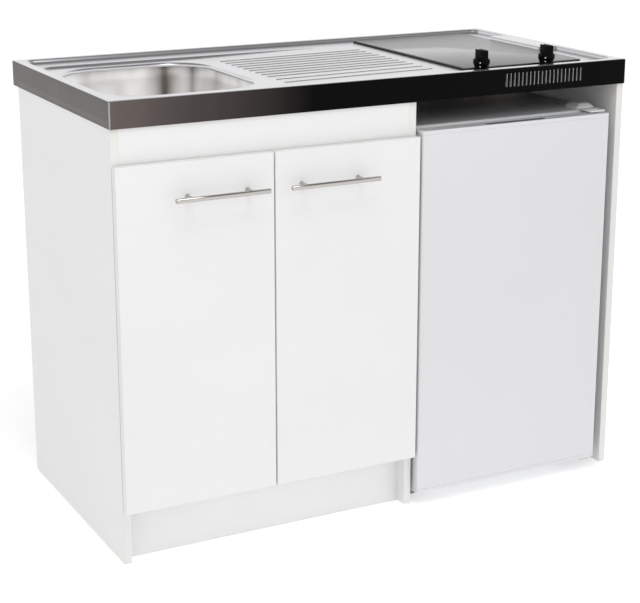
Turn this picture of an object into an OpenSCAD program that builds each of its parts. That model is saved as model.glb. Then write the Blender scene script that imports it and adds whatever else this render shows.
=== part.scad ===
// Kitchenette unit: pressed steel worktop with sink, drainer and two-zone glass hob,
// over a two-door sink cabinet on the left and a table-top refrigerator in the right-hand bay.
// Millimetres, +Z up, doors face -Y, origin on the floor under the middle of the bounding box.
// Inside the modules y = 0 is the front edge of the worktop, and in_place() moves it to the frame.

/* [Worktop] */
// Width of the worktop
worktop_w = 1200; // [1180:5:1300]
// Depth of the worktop
worktop_d = 600; // [590:5:640]
// Height of the worktop's rim above the floor
unit_h = 950; // [945:5:990]
// Height of the folded edge of the worktop
skirt_h = 54; // [52:1:60]
// Thickness of the steel sheet
sheet_t = 1; // [0.6:0.1:1.2]
// Width of the raised rim
rim_w = 22; // [20:1:26]
// Depth of the pressed top below the rim
top_drop = 8; // [7:0.5:9]
// Corner radius of the pressed top
press_r = 20; // [10:1:30]
// Corner radius of the folded edge
skirt_r = 3; // [2:0.5:6]

/* [Sink] */
// Further depth of the sink field at the bowl
well_drop = 4; // [2:0.5:5]
// Depth of the ledge behind the sink field
ledge_d = 63; // [50:1:70]
// Flat strip between the rim and the sink field at the front and the left
well_margin = 12; // [8:1:16]
// Corner radius of the sink field
well_r = 40; // [30:1:60]
// Width of the bowl
bowl_w = 330; // [300:5:340]
// Depth of the bowl, front to back
bowl_d = 385; // [340:5:390]
// Corner radius of the bowl's opening
bowl_r = 95; // [70:5:100]
// Depth of the bowl below its rim
bowl_h = 150; // [130:5:160]
// Radius of the turn from the bowl's wall to its floor
bowl_turn = 45; // [30:5:50]
// Distance from the worktop's left edge to the middle of the bowl
bowl_from_left = 215; // [210:1:220]
// Distance from the worktop's front edge to the middle of the bowl
bowl_from_front = 292; // [285:1:300]
// Width of the bowl's flange under the sheet
bowl_flange = 8; // [6:1:10]
// Number of close ribs on the drainer
rib_count = 9; // [7:1:9]
// Spacing of the close ribs
rib_pitch = 30.2; // [24:0.1:31]
// Spacing of the two front ribs
front_rib_pitch = 41; // [36:1:42]
// Distance from the worktop's front edge to the first close rib
rib_from_front = 194; // [185:1:200]
// Width of a rib
rib_w = 8; // [6:0.5:10]
// Height of a rib
rib_h = 2.5; // [1.5:0.5:3]
// Gap between the ribs and the hob's glass
rib_hob_gap = 43; // [38:1:60]
// Gap between the bowl's opening and the ribs
rib_gap = 42; // [38:1:50]

/* [Waste] */
// Radius of the waste's flange
waste_flange_r = 35; // [33:1:40]
// Radius of the hole in the bowl
waste_hole_r = 26; // [25:0.5:28]
// Radius of the waste's body
waste_body_r = 25; // [24:0.5:25]
// Length of the waste's body below the bowl
waste_l = 55; // [45:5:65]
// Outer radius of the waste pipe
pipe_r = 20; // [16:1:20]
// Wall of the waste pipe
pipe_wall = 2; // [1.5:0.5:2.5]
// Bend radius of the trap
bend_r = 38; // [34:1:44]
// Straight drop from the waste to the trap's bend
trap_drop = 70; // [60:5:90]
// Rise from the trap's bend to the outlet elbow
trap_rise = 12; // [10:1:30]
// Length of the straight outlet pipe
outlet_l = 90; // [60:5:95]

/* [Hob] */
// Width of the hob's glass
glass_w = 300; // [290:2:304]
// Distance from the worktop's back edge to the glass
glass_from_back = 40; // [38:1:50]
// Thickness of the hob's glass
glass_t = 4; // [4:0.5:5]
// Corner radius of the glass
glass_r = 6; // [3:1:10]
// Thickness of the seal under the glass
seal_t = 1.5; // [1:0.5:2]
// Width of the seal under the glass
seal_w = 12; // [8:1:14]
// Distance from the worktop's right edge to the middle of the glass
glass_from_right = 229; // [225:1:240]
// Distance from the worktop's front edge to the glass
glass_from_front = 56; // [56:1:58]
// Overlap of the glass on the steel round the cut-out
glass_overlap = 14; // [13:1:16]
// Height of the hob's tray below the glass
tray_h = 36; // [34:1:42]
// Radius of the front heating element
front_zone_r = 72; // [60:1:74]
// Radius of the rear heating element
rear_zone_r = 90; // [75:1:92]
// Distance from the glass's front edge to the front element's centre
front_zone_y = 122; // [115:1:125]
// Distance from the glass's front edge to the rear element's centre
rear_zone_y = 345; // [335:1:350]
// Number of turns of heating strip in each element
strip_turns = 6; // [4:1:6]

/* [Knobs] */
// Distance from the worktop's front edge to the knob's axis
knob_from_front = 40; // [38:0.5:40]
// Distance from the glass's left edge to the first knob's axis
knob_from_glass = 29; // [26:1:34]
// Distance between the two knobs
knob_pitch = 166; // [150:2:180]
// Radius of the knob's body
knob_r = 18; // [16:0.5:18]
// Radius of the knob's foot
knob_foot_r = 14.5; // [13:0.5:14.5]
// Height of the knob's foot
knob_foot_h = 7; // [6:0.5:8]
// Height of the cone between the foot and the body
knob_cone_h = 8; // [6:0.5:10]
// Height of the knob's body above the cone
knob_body_h = 11; // [9:0.5:14]
// Height of the grip on the knob
grip_h = 18; // [14:0.5:20]
// Length of the grip
grip_l = 34; // [30:1:34]
// Thickness of the grip
grip_t = 12.6; // [10:0.2:14]
// Radius of the regulator's spindle
spindle_r = 3; // [2.5:0.5:3]

/* [Air slots] */
// Number of air slots in the folded front edge
slot_count = 20; // [16:1:20]
// Spacing of the air slots
slot_pitch = 10; // [9:0.5:10]
// Width of an air slot
slot_w = 4; // [3:0.5:5]
// Height of an air slot
slot_h = 30; // [26:1:30]
// Height of the slots' lower end above the edge of the fold
slot_lift = 14; // [12:1:15]
// Distance from the worktop's right edge to the nearest slot
slot_from_right = 122; // [110:1:130]
// Gap between the end slots and the wooden battens
slot_batten_gap = 6; // [5:1:10]

/* [Boards] */
// Thickness of the boards
board_t = 16; // [15:1:19]
// Outer width of the sink cabinet
cabinet_w = 668; // [664:1:680]
// Overhang of the worktop behind the side panels
rear_overhang = 30; // [20:1:40]
// Distance from the worktop's front edge back to the panels
panel_setback = 4; // [3:0.5:6]
// Overhang of the worktop past the side panels
side_overhang = 2; // [1.5:0.5:4]
// Height of the glides under the panels
glide_h = 4; // [3:1:8]
// Radius of a glide
glide_r = 7; // [5:0.5:7]
// Height of the plinth, floor to cabinet floor
plinth_h = 118; // [100:2:130]
// Distance of the plinth board behind the panels' front edges
plinth_recess = 32; // [20:2:60]
// Gap under the plinth board
plinth_gap = 2; // [1:0.5:4]
// Height of the fixed rail over the doors
apron_h = 80; // [76:1:90]
// Height of the rails at the back
rail_h = 80; // [60:5:90]
// Width of the wooden battens under the rim
batten_w = 18; // [16:1:18]
// Radius of the carcass screws
screw_r = 2.5; // [2:0.5:3]
// Length of the carcass screws
screw_l = 48; // [40:1:50]
// Distance of the floor's screws from the ends of the panels
screw_from_end = 90; // [60:5:120]
// Spacing of the pairs of screws in the upper rails
screw_pair = 44; // [36:2:50]

/* [Doors] */
// Distance of the doors' top edges below the worktop's folded edge
door_drop = 70; // [62:1:74]
// Gap between door and carcass, and between the two doors
door_gap = 3; // [2.9:0.1:3.5]
// Distance from a door's edge to its hinge axis
hinge_in = 7.5; // [7:0.1:7.6]
// Depth of the hinge axis inside the door, from its back face
hinge_deep = 10; // [9.8:0.1:10]
// Radius of the cup drilled in the door
cup_r = 17.5; // [17:0.1:17.5]
// Strip of door between the cup and the door's edge
cup_edge = 3; // [2.8:0.1:3]
// Depth of the cup drilled in the door
cup_h = 14; // [13.9:0.1:14.2]
// Radius of the hinge pin
hinge_pin_r = 1.2; // [1:0.1:1.2]
// Distance from the door's ends to the hinges' middles
hinge_from_end = 100; // [80:5:140]
// Length of the bar of a handle
bar_l = 200; // [180:2:220]
// Radius of the bar of a handle
bar_r = 5; // [4:0.5:6]
// Radius of the posts of a handle
post_r = 4; // [3:0.5:4]
// Distance between the posts of a handle
post_pitch = 128; // [96:32:160]
// Distance from the door's face to the middle of the bar
bar_reach = 30; // [25:1:32]
// Distance from the door's top edge to the bar
bar_drop = 70; // [50:2:90]
// Distance from the door's free edge to the end of the bar
bar_from_edge = 22; // [15:1:30]

/* [Refrigerator] */
// Gap between the refrigerator and the end panel
fridge_end_gap = 30; // [26:1:40]
// Gap between the refrigerator and the worktop's folded edge
fridge_head_gap = 58; // [50:1:66]
// Depth of the refrigerator's body behind the door
fridge_d = 390; // [380:2:410]
// Gap between the sink cabinet and the refrigerator
fridge_gap = 7; // [5:0.5:12]
// Distance of the refrigerator's door in front of the worktop's edge
fridge_front = 14; // [10:1:16]
// Thickness of the refrigerator's door
fdoor_t = 42; // [40:1:46]
// Gap between the door and the body, filled by the gasket
gasket_gap = 10; // [9:0.5:11]
// Height of the refrigerator's feet
foot_h = 22; // [20:1:24]
// Thickness of the refrigerator's side walls
wall_t = 35; // [32:1:38]
// Thickness of the refrigerator's top and bottom walls
lid_t = 40; // [36:1:44]
// Thickness of the refrigerator's back wall
rear_t = 45; // [40:1:50]
// Thickness of the outer steel case
case_t = 0.8; // [0.6:0.1:1]
// Thickness of the inner liner
liner_t = 2; // [1.5:0.5:2.5]
// Depth of the compressor's niche
niche_d = 150; // [145:1:155]
// Height of the compressor's niche
niche_h = 174; // [168:1:180]
// Height of the freezer box
freezer_h = 150; // [130:2:160]
// Height of the salad drawer
crisper_h = 170; // [150:2:172]
// Thickness of the glass shelves
shelf_t = 4; // [4:0.5:5]
// Height of the upper glass shelf above the lower one
shelf_rise = 175; // [150:5:190]
// Distance from the door's hinge edge to its axis
fhinge_in = 12; // [11:0.5:14]
// Distance from the door's face back to its axis
fhinge_deep = 22; // [20:0.5:24]
// Radius of the refrigerator's hinge pins
fpin_r = 4; // [3:0.5:4]
// Width of the finger recess in the top of the door
grip_w = 148; // [120:2:160]
// Depth of the door racks
rack_d = 62; // [50:1:66]
// Number of runs of the condenser tube
coil_runs = 11; // [7:2:11]
// Distance of the condenser's top run below the refrigerator's top
coil_drop = 118; // [60:2:140]
// Distance of the condenser's lowest run above the compressor's niche
coil_lift = 40; // [36:1:60]
// Radius of the condenser tube
coil_r = 2.5; // [2:0.5:3]
// Number of wires on the condenser
wire_count = 22; // [10:1:24]

/* [Hidden] */
$fn = 64;
// clearances: faces that slide past, a shaft in its hole, and a piece dropped into a pocket
slide_gap = 0.5;
shaft_gap = 0.05;
seat_gap = 0.2;
// extra reach of a cutting shape past the face that it cuts
cut = 1;

// ---- places along Y, from the worktop's front edge
panel_y0 = panel_setback;
panel_y1 = worktop_d - rear_overhang;
door_back_y = panel_y0 - door_gap;
door_y = door_back_y - board_t;
bar_y = door_y - bar_reach;
front_reach = bar_r - bar_y;
total_d = worktop_d + front_reach;
front_y = front_reach - total_d / 2;

// ---- places along X
left_x = -worktop_w / 2 + side_overhang;
cab_x1 = left_x + cabinet_w;
end_x1 = worktop_w / 2 - side_overhang;
cab_mid_x = (left_x + cab_x1) / 2;
door_w = (cabinet_w - door_gap) / 2;

// ---- places along Z
panel_z1 = unit_h - skirt_h;
floor_z0 = plinth_h;
door_z0 = plinth_h;
door_z1 = panel_z1 - door_drop;
press_z = unit_h - top_drop;
well_z = press_z - well_drop;
glass_z = press_z + seal_t;

// ---- sink field and bowl
bowl_x = -worktop_w / 2 + bowl_from_left;
bowl_y = bowl_from_front;
bowl_edge_x = bowl_x + bowl_w / 2;
rib_x0 = bowl_edge_x + rib_gap;
rib_x1 = worktop_w / 2 - glass_from_right - glass_w / 2 - rib_hob_gap;
slope_x0 = bowl_edge_x + bowl_flange + 4 * sheet_t;
slope_x1 = rib_x1 + rib_w;
well_x0 = -worktop_w / 2 + rim_w + well_margin / 2;
well_y0 = rim_w + well_margin;
well_y1 = worktop_d - rim_w - ledge_d;
bowl_top_z = well_z - sheet_t;
bowl_floor_z = bowl_top_z - bowl_h;

// ---- hob
glass_x = worktop_w / 2 - glass_from_right;
glass_x0 = glass_x - glass_w / 2;
glass_y0 = glass_from_front;
glass_y1 = worktop_d - glass_from_back;
hole_x0 = glass_x0 + glass_overlap;
hole_x1 = glass_x0 + glass_w - glass_overlap;
hole_y0 = glass_y0 + glass_overlap;
hole_y1 = glass_y1 - glass_overlap;
tray_gap = 3;
tray_t = 1;
tray_z0 = glass_z - tray_h;
tray_floor_z = tray_z0 + tray_t;
knob_x = [glass_x0 + knob_from_glass, glass_x0 + knob_from_glass + knob_pitch];
knob_y = knob_from_front;
knob_lift = 1;
knob_z0 = press_z + knob_lift;
knob_cone_z = knob_z0 + knob_foot_h;
knob_body_z = knob_cone_z + knob_cone_h;
knob_top_z = knob_body_z + knob_body_h;
regulator_w = 46;
regulator_d = 34;
regulator_h = 32;
neck_r = spindle_r + 2;
neck_h = 2;
neck_hole_r = neck_r + 0.3;
neck_pocket_r = neck_r + 1.5;
neck_pocket_h = neck_h + sheet_t;

// the raised pad at the right of the hob, where the pressed top comes up to the rim
pad_gap = 15;
pad_from_front = 233;
pad_from_back = 147;
pad_x0 = glass_x0 + glass_w + pad_gap;
pad_y0 = pad_from_front;
pad_y1 = worktop_d - pad_from_back;

// ---- door hinges
hinge_x = left_x + hinge_in;
hinge_y = door_back_y - hinge_deep;
cup_x = left_x + cup_edge + cup_r;
cup_wall = 0.7;
knuckle_r = hinge_pin_r + 1.2;
knuckle_h = 9;
ear_h = 3.3;
leg_t = 2.5;
leg_x0 = hinge_x + hinge_deep + 2;
plate_h = 44;
plate_d = 40;
plate_y0 = panel_y0 + 20;
hinge_zs = [door_z0 + hinge_from_end, door_z1 - hinge_from_end];

// ---- refrigerator
fridge_x0 = cab_x1 + fridge_gap;
fridge_x1 = end_x1 - board_t - fridge_end_gap;
fridge_h = panel_z1 - fridge_head_gap;
fdoor_y = -fridge_front;
fdoor_back_y = fdoor_y + fdoor_t;
case_y0 = fdoor_back_y + gasket_gap;
case_y1 = case_y0 + fridge_d;
case_z0 = foot_h + 4;
fdoor_z0 = case_z0 + 4;
fdoor_z1 = fridge_h - 2;
cav_x0 = fridge_x0 + wall_t;
cav_x1 = fridge_x1 - wall_t;
cav_y1 = case_y1 - rear_t;
cav_z0 = case_z0 + lid_t;
cav_z1 = fridge_h - lid_t;
step_y = case_y1 - niche_d - rear_t;
step_z = case_z0 + niche_h + rear_t;
shelf_z = step_z + 12;
upper_shelf_z = shelf_z + shelf_rise;
freezer_z0 = cav_z1 - freezer_h;
shelf_y0 = fdoor_back_y + rack_d + 6;
drawer_y0 = shelf_y0 - 6;
fhinge_x = fridge_x1 - fhinge_in;
fhinge_y = fdoor_y + fhinge_deep;
ledge_w = 8;
ledge_h = 6;
rack_rib_t = 12;
rack_x0 = cav_x0 + rack_rib_t + 6;
rack_x1 = cav_x1 - rack_rib_t - 6;
fliner_h = 8;
pan_y1 = fdoor_back_y - fliner_h;
dial_x = cav_x1 - 32;
dial_y = case_y0 + 130;
dial_z = freezer_z0 - 26;
coil_y = case_y1 + 12;
coil_x0 = fridge_x0 + 45;
coil_x1 = fridge_x1 - 45;
coil_z0 = case_z0 + niche_h + coil_lift;
coil_pitch = (fridge_h - coil_drop - coil_z0) / (coil_runs - 1);
can_from_right = 162;
can_x = fridge_x1 - can_from_right;
can_y = case_y1 - niche_d / 2;
can_r = 58;
can_h = 120;
can_z0 = case_z0 + 18;

// ---------------------------------------------------------------- helpers
module in_place() { translate([0, front_y, 0]) children(); }

// a box from its lowest to its highest corner
module block(lo, hi) { translate(lo) cube(hi - lo); }

// a rectangle with round corners, drawn with true arcs
module round_plan(x0, y0, x1, y1, r) {
  translate([x0 + r, y0]) square([x1 - x0 - 2 * r, y1 - y0]);
  translate([x0, y0 + r]) square([x1 - x0, y1 - y0 - 2 * r]);
  for (x = [x0 + r, x1 - r], y = [y0 + r, y1 - r]) translate([x, y]) circle(r);
}

module round_slab(x0, y0, x1, y1, r, z0, z1) {
  translate([0, 0, z0]) linear_extrude(z1 - z0) round_plan(x0, y0, x1, y1, r);
}

module rod(p, r, h) { translate(p) cylinder(r = r, h = h); }
module rod_x(p, r, l) { translate(p) rotate([0, 90, 0]) cylinder(r = r, h = l); }
module rod_y(p, r, l) { translate(p) rotate([-90, 0, 0]) cylinder(r = r, h = l); }

// an outline in the Y-Z plane, drawn out along X
module side_profile(points, x0, x1) {
  translate([x0, 0, 0]) rotate([90, 0, 90]) linear_extrude(x1 - x0) polygon(points);
}

module about_cabinet_middle() {
  translate([2 * cab_mid_x, 0, 0]) mirror([1, 0, 0]) children();
}

// ---------------------------------------------------------------- worktop
// grow is 0 for the pressed hollow and sheet_t for the space that its metal fills
module press_hollow(grow) {
  translate([0, 0, press_z - grow]) linear_extrude(top_drop + grow + cut) difference() {
    round_plan(-worktop_w / 2 + rim_w - grow, rim_w - grow, worktop_w / 2 - rim_w + grow,
      worktop_d - rim_w + grow, press_r + grow);
    round_plan(pad_x0 + grow, pad_y0 + grow, worktop_w / 2, pad_y1 - grow, press_r / 2);
  }
}

// the sink field's floor is level at the bowl and climbs to the pressed top past the ribs
module well_side(rise, top) {
  translate([0, worktop_d, 0]) rotate([90, 0, 0]) linear_extrude(worktop_d) polygon([
    [well_x0 - press_r, well_z + rise], [slope_x0, well_z + rise], [slope_x1, press_z + rise],
    [slope_x1, top], [well_x0 - press_r, top]]);
}

module well_hollow(grow) {
  intersection() {
    well_side(-grow, unit_h);
    round_slab(well_x0 - grow, well_y0 - grow, slope_x1 + grow, well_y1 + grow, well_r + grow,
      well_z - grow - cut, unit_h);
  }
}

module rib_plan() {
  front = [for (i = [1:2]) rib_from_front - i * front_rib_pitch];
  close = [for (i = [0:rib_count - 1]) rib_from_front + i * rib_pitch];
  for (y = concat(front, close)) round_plan(rib_x0, y, rib_x1, y + rib_w, rib_w / 2 - 0.01);
}

module drainer_ribs() {
  intersection() {
    translate([0, 0, well_z]) linear_extrude(top_drop + well_drop) rib_plan();
    difference() {
      well_side(-sheet_t / 2, unit_h);
      well_side(rib_h, unit_h + cut);
    }
  }
}

module bowl_plan(grow) {
  translate([bowl_x, bowl_y]) round_plan(-bowl_w / 2 - grow, -bowl_d / 2 - grow,
    bowl_w / 2 + grow, bowl_d / 2 + grow, bowl_r + grow);
}

module air_slots() {
  x1 = worktop_w / 2 - slot_from_right;
  z0 = panel_z1 + slot_lift;
  for (i = [0:slot_count - 1]) translate([x1 - i * slot_pitch, sheet_t + cut, 0])
    rotate([90, 0, 0]) linear_extrude(sheet_t + 2 * cut)
      round_plan(-slot_w / 2, z0, slot_w / 2, z0 + slot_h, slot_w / 2 - 0.01);
}

module worktop_sheet() {
  x = worktop_w / 2;
  color("silver") in_place() {
    difference() {
      round_slab(-x, 0, x, worktop_d, skirt_r, panel_z1, unit_h);
      difference() {
        round_slab(-x + sheet_t, sheet_t, x - sheet_t, worktop_d - sheet_t, skirt_r - sheet_t,
          panel_z1 - cut, unit_h - sheet_t);
        press_hollow(sheet_t);
        well_hollow(sheet_t);
      }
      press_hollow(0);
      well_hollow(0);
      translate([0, 0, well_z - 2 * sheet_t]) linear_extrude(unit_h) bowl_plan(0);
      block([hole_x0, hole_y0, press_z - 2 * sheet_t], [hole_x1, hole_y1, unit_h]);
      for (kx = knob_x) rod([kx, knob_y, press_z - 2 * sheet_t], neck_hole_r, unit_h);
      air_slots();
    }
    drainer_ribs();
  }
}

// the bowl's section across a width of 2 * half: straight walls that turn into a flat floor
module bowl_section(half, turn, z0, z1) {
  translate([-half + turn, z0]) square([2 * (half - turn), z1 - z0]);
  translate([-half, z0 + turn]) square([2 * half, z1 - z0 - turn]);
  for (side = [-1, 1]) translate([side * (half - turn), z0 + turn]) circle(turn);
}

// the bowl's space, or with its metal where grow is the sheet's thickness
module bowl_body(grow, z0, z1) {
  r = bowl_r + grow;
  turn = bowl_turn + grow;
  w = bowl_w - 2 * bowl_r;
  d = bowl_d - 2 * bowl_r;
  translate([bowl_x, bowl_y, 0]) {
    translate([0, d / 2, 0]) rotate([90, 0, 0]) linear_extrude(d)
      bowl_section(bowl_w / 2 + grow, turn, z0, z1);
    rotate([90, 0, 90]) translate([0, 0, -w / 2]) linear_extrude(w)
      bowl_section(bowl_d / 2 + grow, turn, z0, z1);
    for (sx = [-1, 1], sy = [-1, 1]) translate([sx * w / 2, sy * d / 2, 0]) rotate_extrude()
      intersection() {
        bowl_section(r, turn, z0, z1);
        square([r, z1]);
      }
  }
}

module sink_bowl() {
  color("gainsboro") in_place() difference() {
    union() {
      bowl_body(sheet_t, bowl_floor_z - sheet_t, bowl_top_z - sheet_t);
      translate([0, 0, bowl_top_z - sheet_t]) linear_extrude(sheet_t) bowl_plan(bowl_flange);
    }
    bowl_body(0, bowl_floor_z, bowl_top_z + cut);
    rod([bowl_x, bowl_y, bowl_floor_z - 2 * sheet_t], waste_hole_r, bowl_turn);
  }
}

// ---------------------------------------------------------------- waste and trap
waste_flange_t = 2;
waste_lip_t = 3;
nut_h = 12;
seal_rubber_t = 3;
waste_z1 = bowl_floor_z + waste_flange_t;
waste_z0 = bowl_floor_z - sheet_t - waste_l;
pipe_top_z = waste_z0 - 1;
bend_z = pipe_top_z - trap_drop;
elbow_z = bend_z + trap_rise + bend_r;
outlet_y0 = bowl_y + 3 * bend_r;

module sink_waste() {
  at = [bowl_x, bowl_y];
  color("lightgray") in_place() difference() {
    union() {
      rod([at[0], at[1], bowl_floor_z], waste_flange_r, waste_flange_t);
      rod([at[0], at[1], waste_z0], waste_body_r, waste_z1 - waste_z0);
    }
    // the bore, closed near its top by a grid of round holes
    rod([at[0], at[1], waste_z0 - cut], waste_body_r - waste_lip_t, waste_l - cut);
    for (a = [0:60:300]) translate([at[0], at[1], waste_z0]) rotate(a)
      translate([waste_body_r / 2, 0, 0]) cylinder(r = waste_body_r / 6, h = 2 * waste_l);
    rod([at[0], at[1], waste_z0], waste_body_r / 6, 2 * waste_l);
  }
}

module ring(p, r_out, r_in, h) {
  translate(p) difference() {
    cylinder(r = r_out, h = h);
    translate([0, 0, -cut]) cylinder(r = r_in, h = h + 2 * cut);
  }
}

module waste_seal() {
  color("dimgray") in_place() ring([bowl_x, bowl_y, bowl_floor_z - sheet_t - seal_rubber_t],
    waste_flange_r, waste_body_r + shaft_gap, seal_rubber_t);
}

module waste_nut() {
  color("white") in_place()
    ring([bowl_x, bowl_y, bowl_floor_z - sheet_t - seal_rubber_t - nut_h],
      waste_flange_r + 2, waste_body_r + shaft_gap, nut_h);
}

// a bend of pipe in the Y-Z plane, from angle a0 over a quarter or half turn
module pipe_bend(r, centre, a0, sweep) {
  translate(centre) rotate([0, 90, 0]) rotate(a0)
    rotate_extrude(angle = sweep) translate([bend_r, 0]) circle(r);
}

// the trap's drop, U bend, rise and elbow, as one length of pipe of radius r
module trap_run(r, over) {
  y1 = bowl_y + 2 * bend_r;
  rod([bowl_x, bowl_y, bend_z], r, pipe_top_z - bend_z + over);
  pipe_bend(r, [bowl_x, bowl_y + bend_r, bend_z], -90, 180);
  rod([bowl_x, y1, bend_z], r, trap_rise);
  pipe_bend(r, [bowl_x, y1 + bend_r, bend_z + trap_rise], 180, 90);
  rod_y([bowl_x, y1 + bend_r - over, elbow_z], r, over);
}

module trap_pipe() {
  color("whitesmoke") in_place() difference() {
    union() {
      trap_run(pipe_r, 0);
      ring([bowl_x, bowl_y, pipe_top_z - 20], pipe_r + 6, pipe_r - pipe_wall, 21);
      rod_y([bowl_x, outlet_y0 - 12, elbow_z], pipe_r + 5, 12);
    }
    trap_run(pipe_r - pipe_wall, 2 * cut);
    rod_y([bowl_x, outlet_y0 - 20, elbow_z], pipe_r - pipe_wall, 30);
  }
}

module outlet_pipe() {
  color("whitesmoke") in_place() difference() {
    rod_y([bowl_x, outlet_y0, elbow_z], pipe_r, outlet_l);
    rod_y([bowl_x, outlet_y0 - cut, elbow_z], pipe_r - pipe_wall, outlet_l + 2 * cut);
  }
}

module worktop_battens() {
  x = worktop_w / 2 - sheet_t;
  // the front and back battens stop short of the sheet's round corners
  end_x = worktop_w / 2 - skirt_r;
  y1 = worktop_d - sheet_t;
  z1 = unit_h - sheet_t;
  slots_x1 = worktop_w / 2 - slot_from_right + slot_w / 2 + slot_batten_gap;
  slots_x0 = slots_x1 - (slot_count - 1) * slot_pitch - slot_w - 2 * slot_batten_gap;
  middle_z = press_z - sheet_t - well_drop / 2;
  color("burlywood") in_place() {
    block([-end_x, sheet_t, panel_z1], [slots_x0, batten_w, z1]);
    block([slots_x1, sheet_t, panel_z1], [end_x, batten_w, z1]);
    block([-end_x, y1 - batten_w, panel_z1], [end_x, y1, z1]);
    block([-x, batten_w, panel_z1], [-x + batten_w, y1 - batten_w, z1]);
    block([x - batten_w, batten_w, panel_z1], [x, y1 - batten_w, z1]);
    block([slope_x1 + sheet_t, batten_w, panel_z1],
      [slope_x1 + sheet_t + batten_w, y1 - batten_w, press_z - sheet_t]);
    block([cab_x1 - board_t, batten_w, panel_z1], [cab_x1, y1 - batten_w, middle_z]);
  }
}

// ---------------------------------------------------------------- hob
module hob_glass() {
  color("#202024") in_place() round_slab(glass_x0, glass_y0, glass_x0 + glass_w, glass_y1,
    glass_r, glass_z, glass_z + glass_t);
}

module hob_seal() {
  color("#303030") in_place() difference() {
    round_slab(glass_x0 + 1, glass_y0 + 1, glass_x0 + glass_w - 1, glass_y1 - 1, glass_r - 1,
      press_z, glass_z);
    block([glass_x0 + seal_w, glass_y0 + seal_w, press_z - cut],
      [glass_x0 + glass_w - seal_w, glass_y1 - seal_w, glass_z + cut]);
  }
}

module hob_tray() {
  lo = [hole_x0 + tray_gap, hole_y0 + tray_gap, tray_z0];
  hi = [hole_x1 - tray_gap, hole_y1 - tray_gap, glass_z];
  wall = [tray_t, tray_t, tray_t];
  color("darkgray") in_place() difference() {
    block(lo, hi);
    block(lo + wall, [hi[0] - tray_t, hi[1] - tray_t, hi[2] + cut]);
  }
}

zones = [[front_zone_y, front_zone_r], [rear_zone_y, rear_zone_r]];
dish_h = tray_h - tray_t - 0.3;
dish_t = 8;
dish_pad = 14;

module heater_dishes() {
  color("lightgray") in_place() for (zone = zones) translate([glass_x, glass_y0 + zone[0], 0])
    difference() {
      rod([0, 0, tray_floor_z], zone[1], dish_h);
      rod([0, 0, tray_floor_z + dish_pad], zone[1] - dish_t, dish_h);
    }
}

module heater_strips() {
  strip_t = 1.5;
  strip_h = 5;
  color("orangered") in_place() for (zone = zones) translate([glass_x, glass_y0 + zone[0], 0]) {
    pitch = (zone[1] - dish_t - 14) / strip_turns;
    for (i = [1:strip_turns]) translate([0, 0, tray_floor_z + dish_pad]) rotate(20 + 8 * i)
      rotate_extrude(angle = 325) translate([i * pitch, 0]) square([strip_t, strip_h]);
  }
}

module regulators() {
  z1 = press_z - sheet_t;
  color("dimgray") in_place() for (kx = knob_x) difference() {
    union() {
      block([kx - regulator_w / 2, knob_y - regulator_d / 2, z1 - regulator_h],
        [kx + regulator_w / 2, knob_y + regulator_d / 2, z1]);
      rod([kx, knob_y, z1 - cut], neck_r, sheet_t + neck_h + cut);
    }
    rod([kx, knob_y, z1 - regulator_h / 2], spindle_r + shaft_gap, regulator_h);
  }
}

module terminal_box() {
  z1 = tray_z0;
  box = [70, 40, 24];
  at = [hole_x1 - tray_gap - box[0] - 20, hole_y1 - tray_gap - box[1] - 10, z1 - box[2]];
  gland_r = 9;
  color("black") in_place() {
    translate(at) cube(box);
    rod_x(at + [-14, box[1] / 2, box[2] / 2], gland_r, 14);
  }
}

module spindle(kx) {
  z0 = press_z - sheet_t - regulator_h / 2 + 0.5;
  color("silver") in_place() rod([kx, knob_y, z0], spindle_r, knob_top_z - z0);
}

module knob(kx) {
  color("#18181a") in_place() translate([kx, knob_y, 0]) difference() {
    union() {
      rod([0, 0, knob_z0], knob_foot_r, knob_foot_h);
      translate([0, 0, knob_cone_z])
        cylinder(r1 = knob_foot_r, r2 = knob_r, h = knob_cone_h);
      rod([0, 0, knob_body_z], knob_r, knob_body_h);
      translate([0, 0, knob_top_z]) linear_extrude(grip_h)
        round_plan(-grip_t / 2, -grip_l / 2, grip_t / 2, grip_l / 2, 2);
    }
    rod([0, 0, knob_z0 - cut], neck_pocket_r, neck_pocket_h + cut);
    rod([0, 0, knob_z0], spindle_r + shaft_gap, knob_top_z - knob_z0 + shaft_gap);
  }
}

module left_knob() { knob(knob_x[0]); }
module left_spindle() { spindle(knob_x[0]); }
module right_knob() { knob(knob_x[1]); }
module right_spindle() { spindle(knob_x[1]); }

// ---------------------------------------------------------------- carcass
// where the carcass screws enter: [y, z, side panels that they go through]
apron_z = panel_z1 - apron_h / 2;
rail_z = floor_z0 + board_t + rail_h / 2;
rail_y = panel_y1 - board_t / 2;
cabinet_screws = [
  [panel_y0 + screw_from_end, floor_z0 + board_t / 2],
  [panel_y1 - screw_from_end, floor_z0 + board_t / 2],
  [panel_y0 + board_t / 2, apron_z - screw_pair / 2],
  [panel_y0 + board_t / 2, apron_z + screw_pair / 2],
  [rail_y, apron_z], [rail_y, rail_z],
  [panel_y0 + plinth_recess + board_t / 2, plinth_h / 2]];
bay_screws = [[rail_y, apron_z - screw_pair / 2], [rail_y, apron_z + screw_pair / 2]];

// one screw along +X from the outer face of a panel, grown by g for its hole
module carcass_screw(x, y, z, g) {
  rod_x([x, y, z], screw_r + g, screw_l + g);
  rod_x([x, y, z], screw_r + 1.5 + g, 2 + g);
}

module left_screws(g) {
  for (s = cabinet_screws) carcass_screw(left_x, s[0], s[1], g);
}
module middle_screws(g) {
  about_cabinet_middle() left_screws(g);
}
// the bay's rail is screwed from the end panel's outer face
module end_screws(g) {
  mirror([1, 0, 0]) for (s = bay_screws) carcass_screw(-end_x1, s[0], s[1], g);
}

module all_screws(g) {
  left_screws(g);
  middle_screws(g);
  end_screws(g);
}

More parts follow.
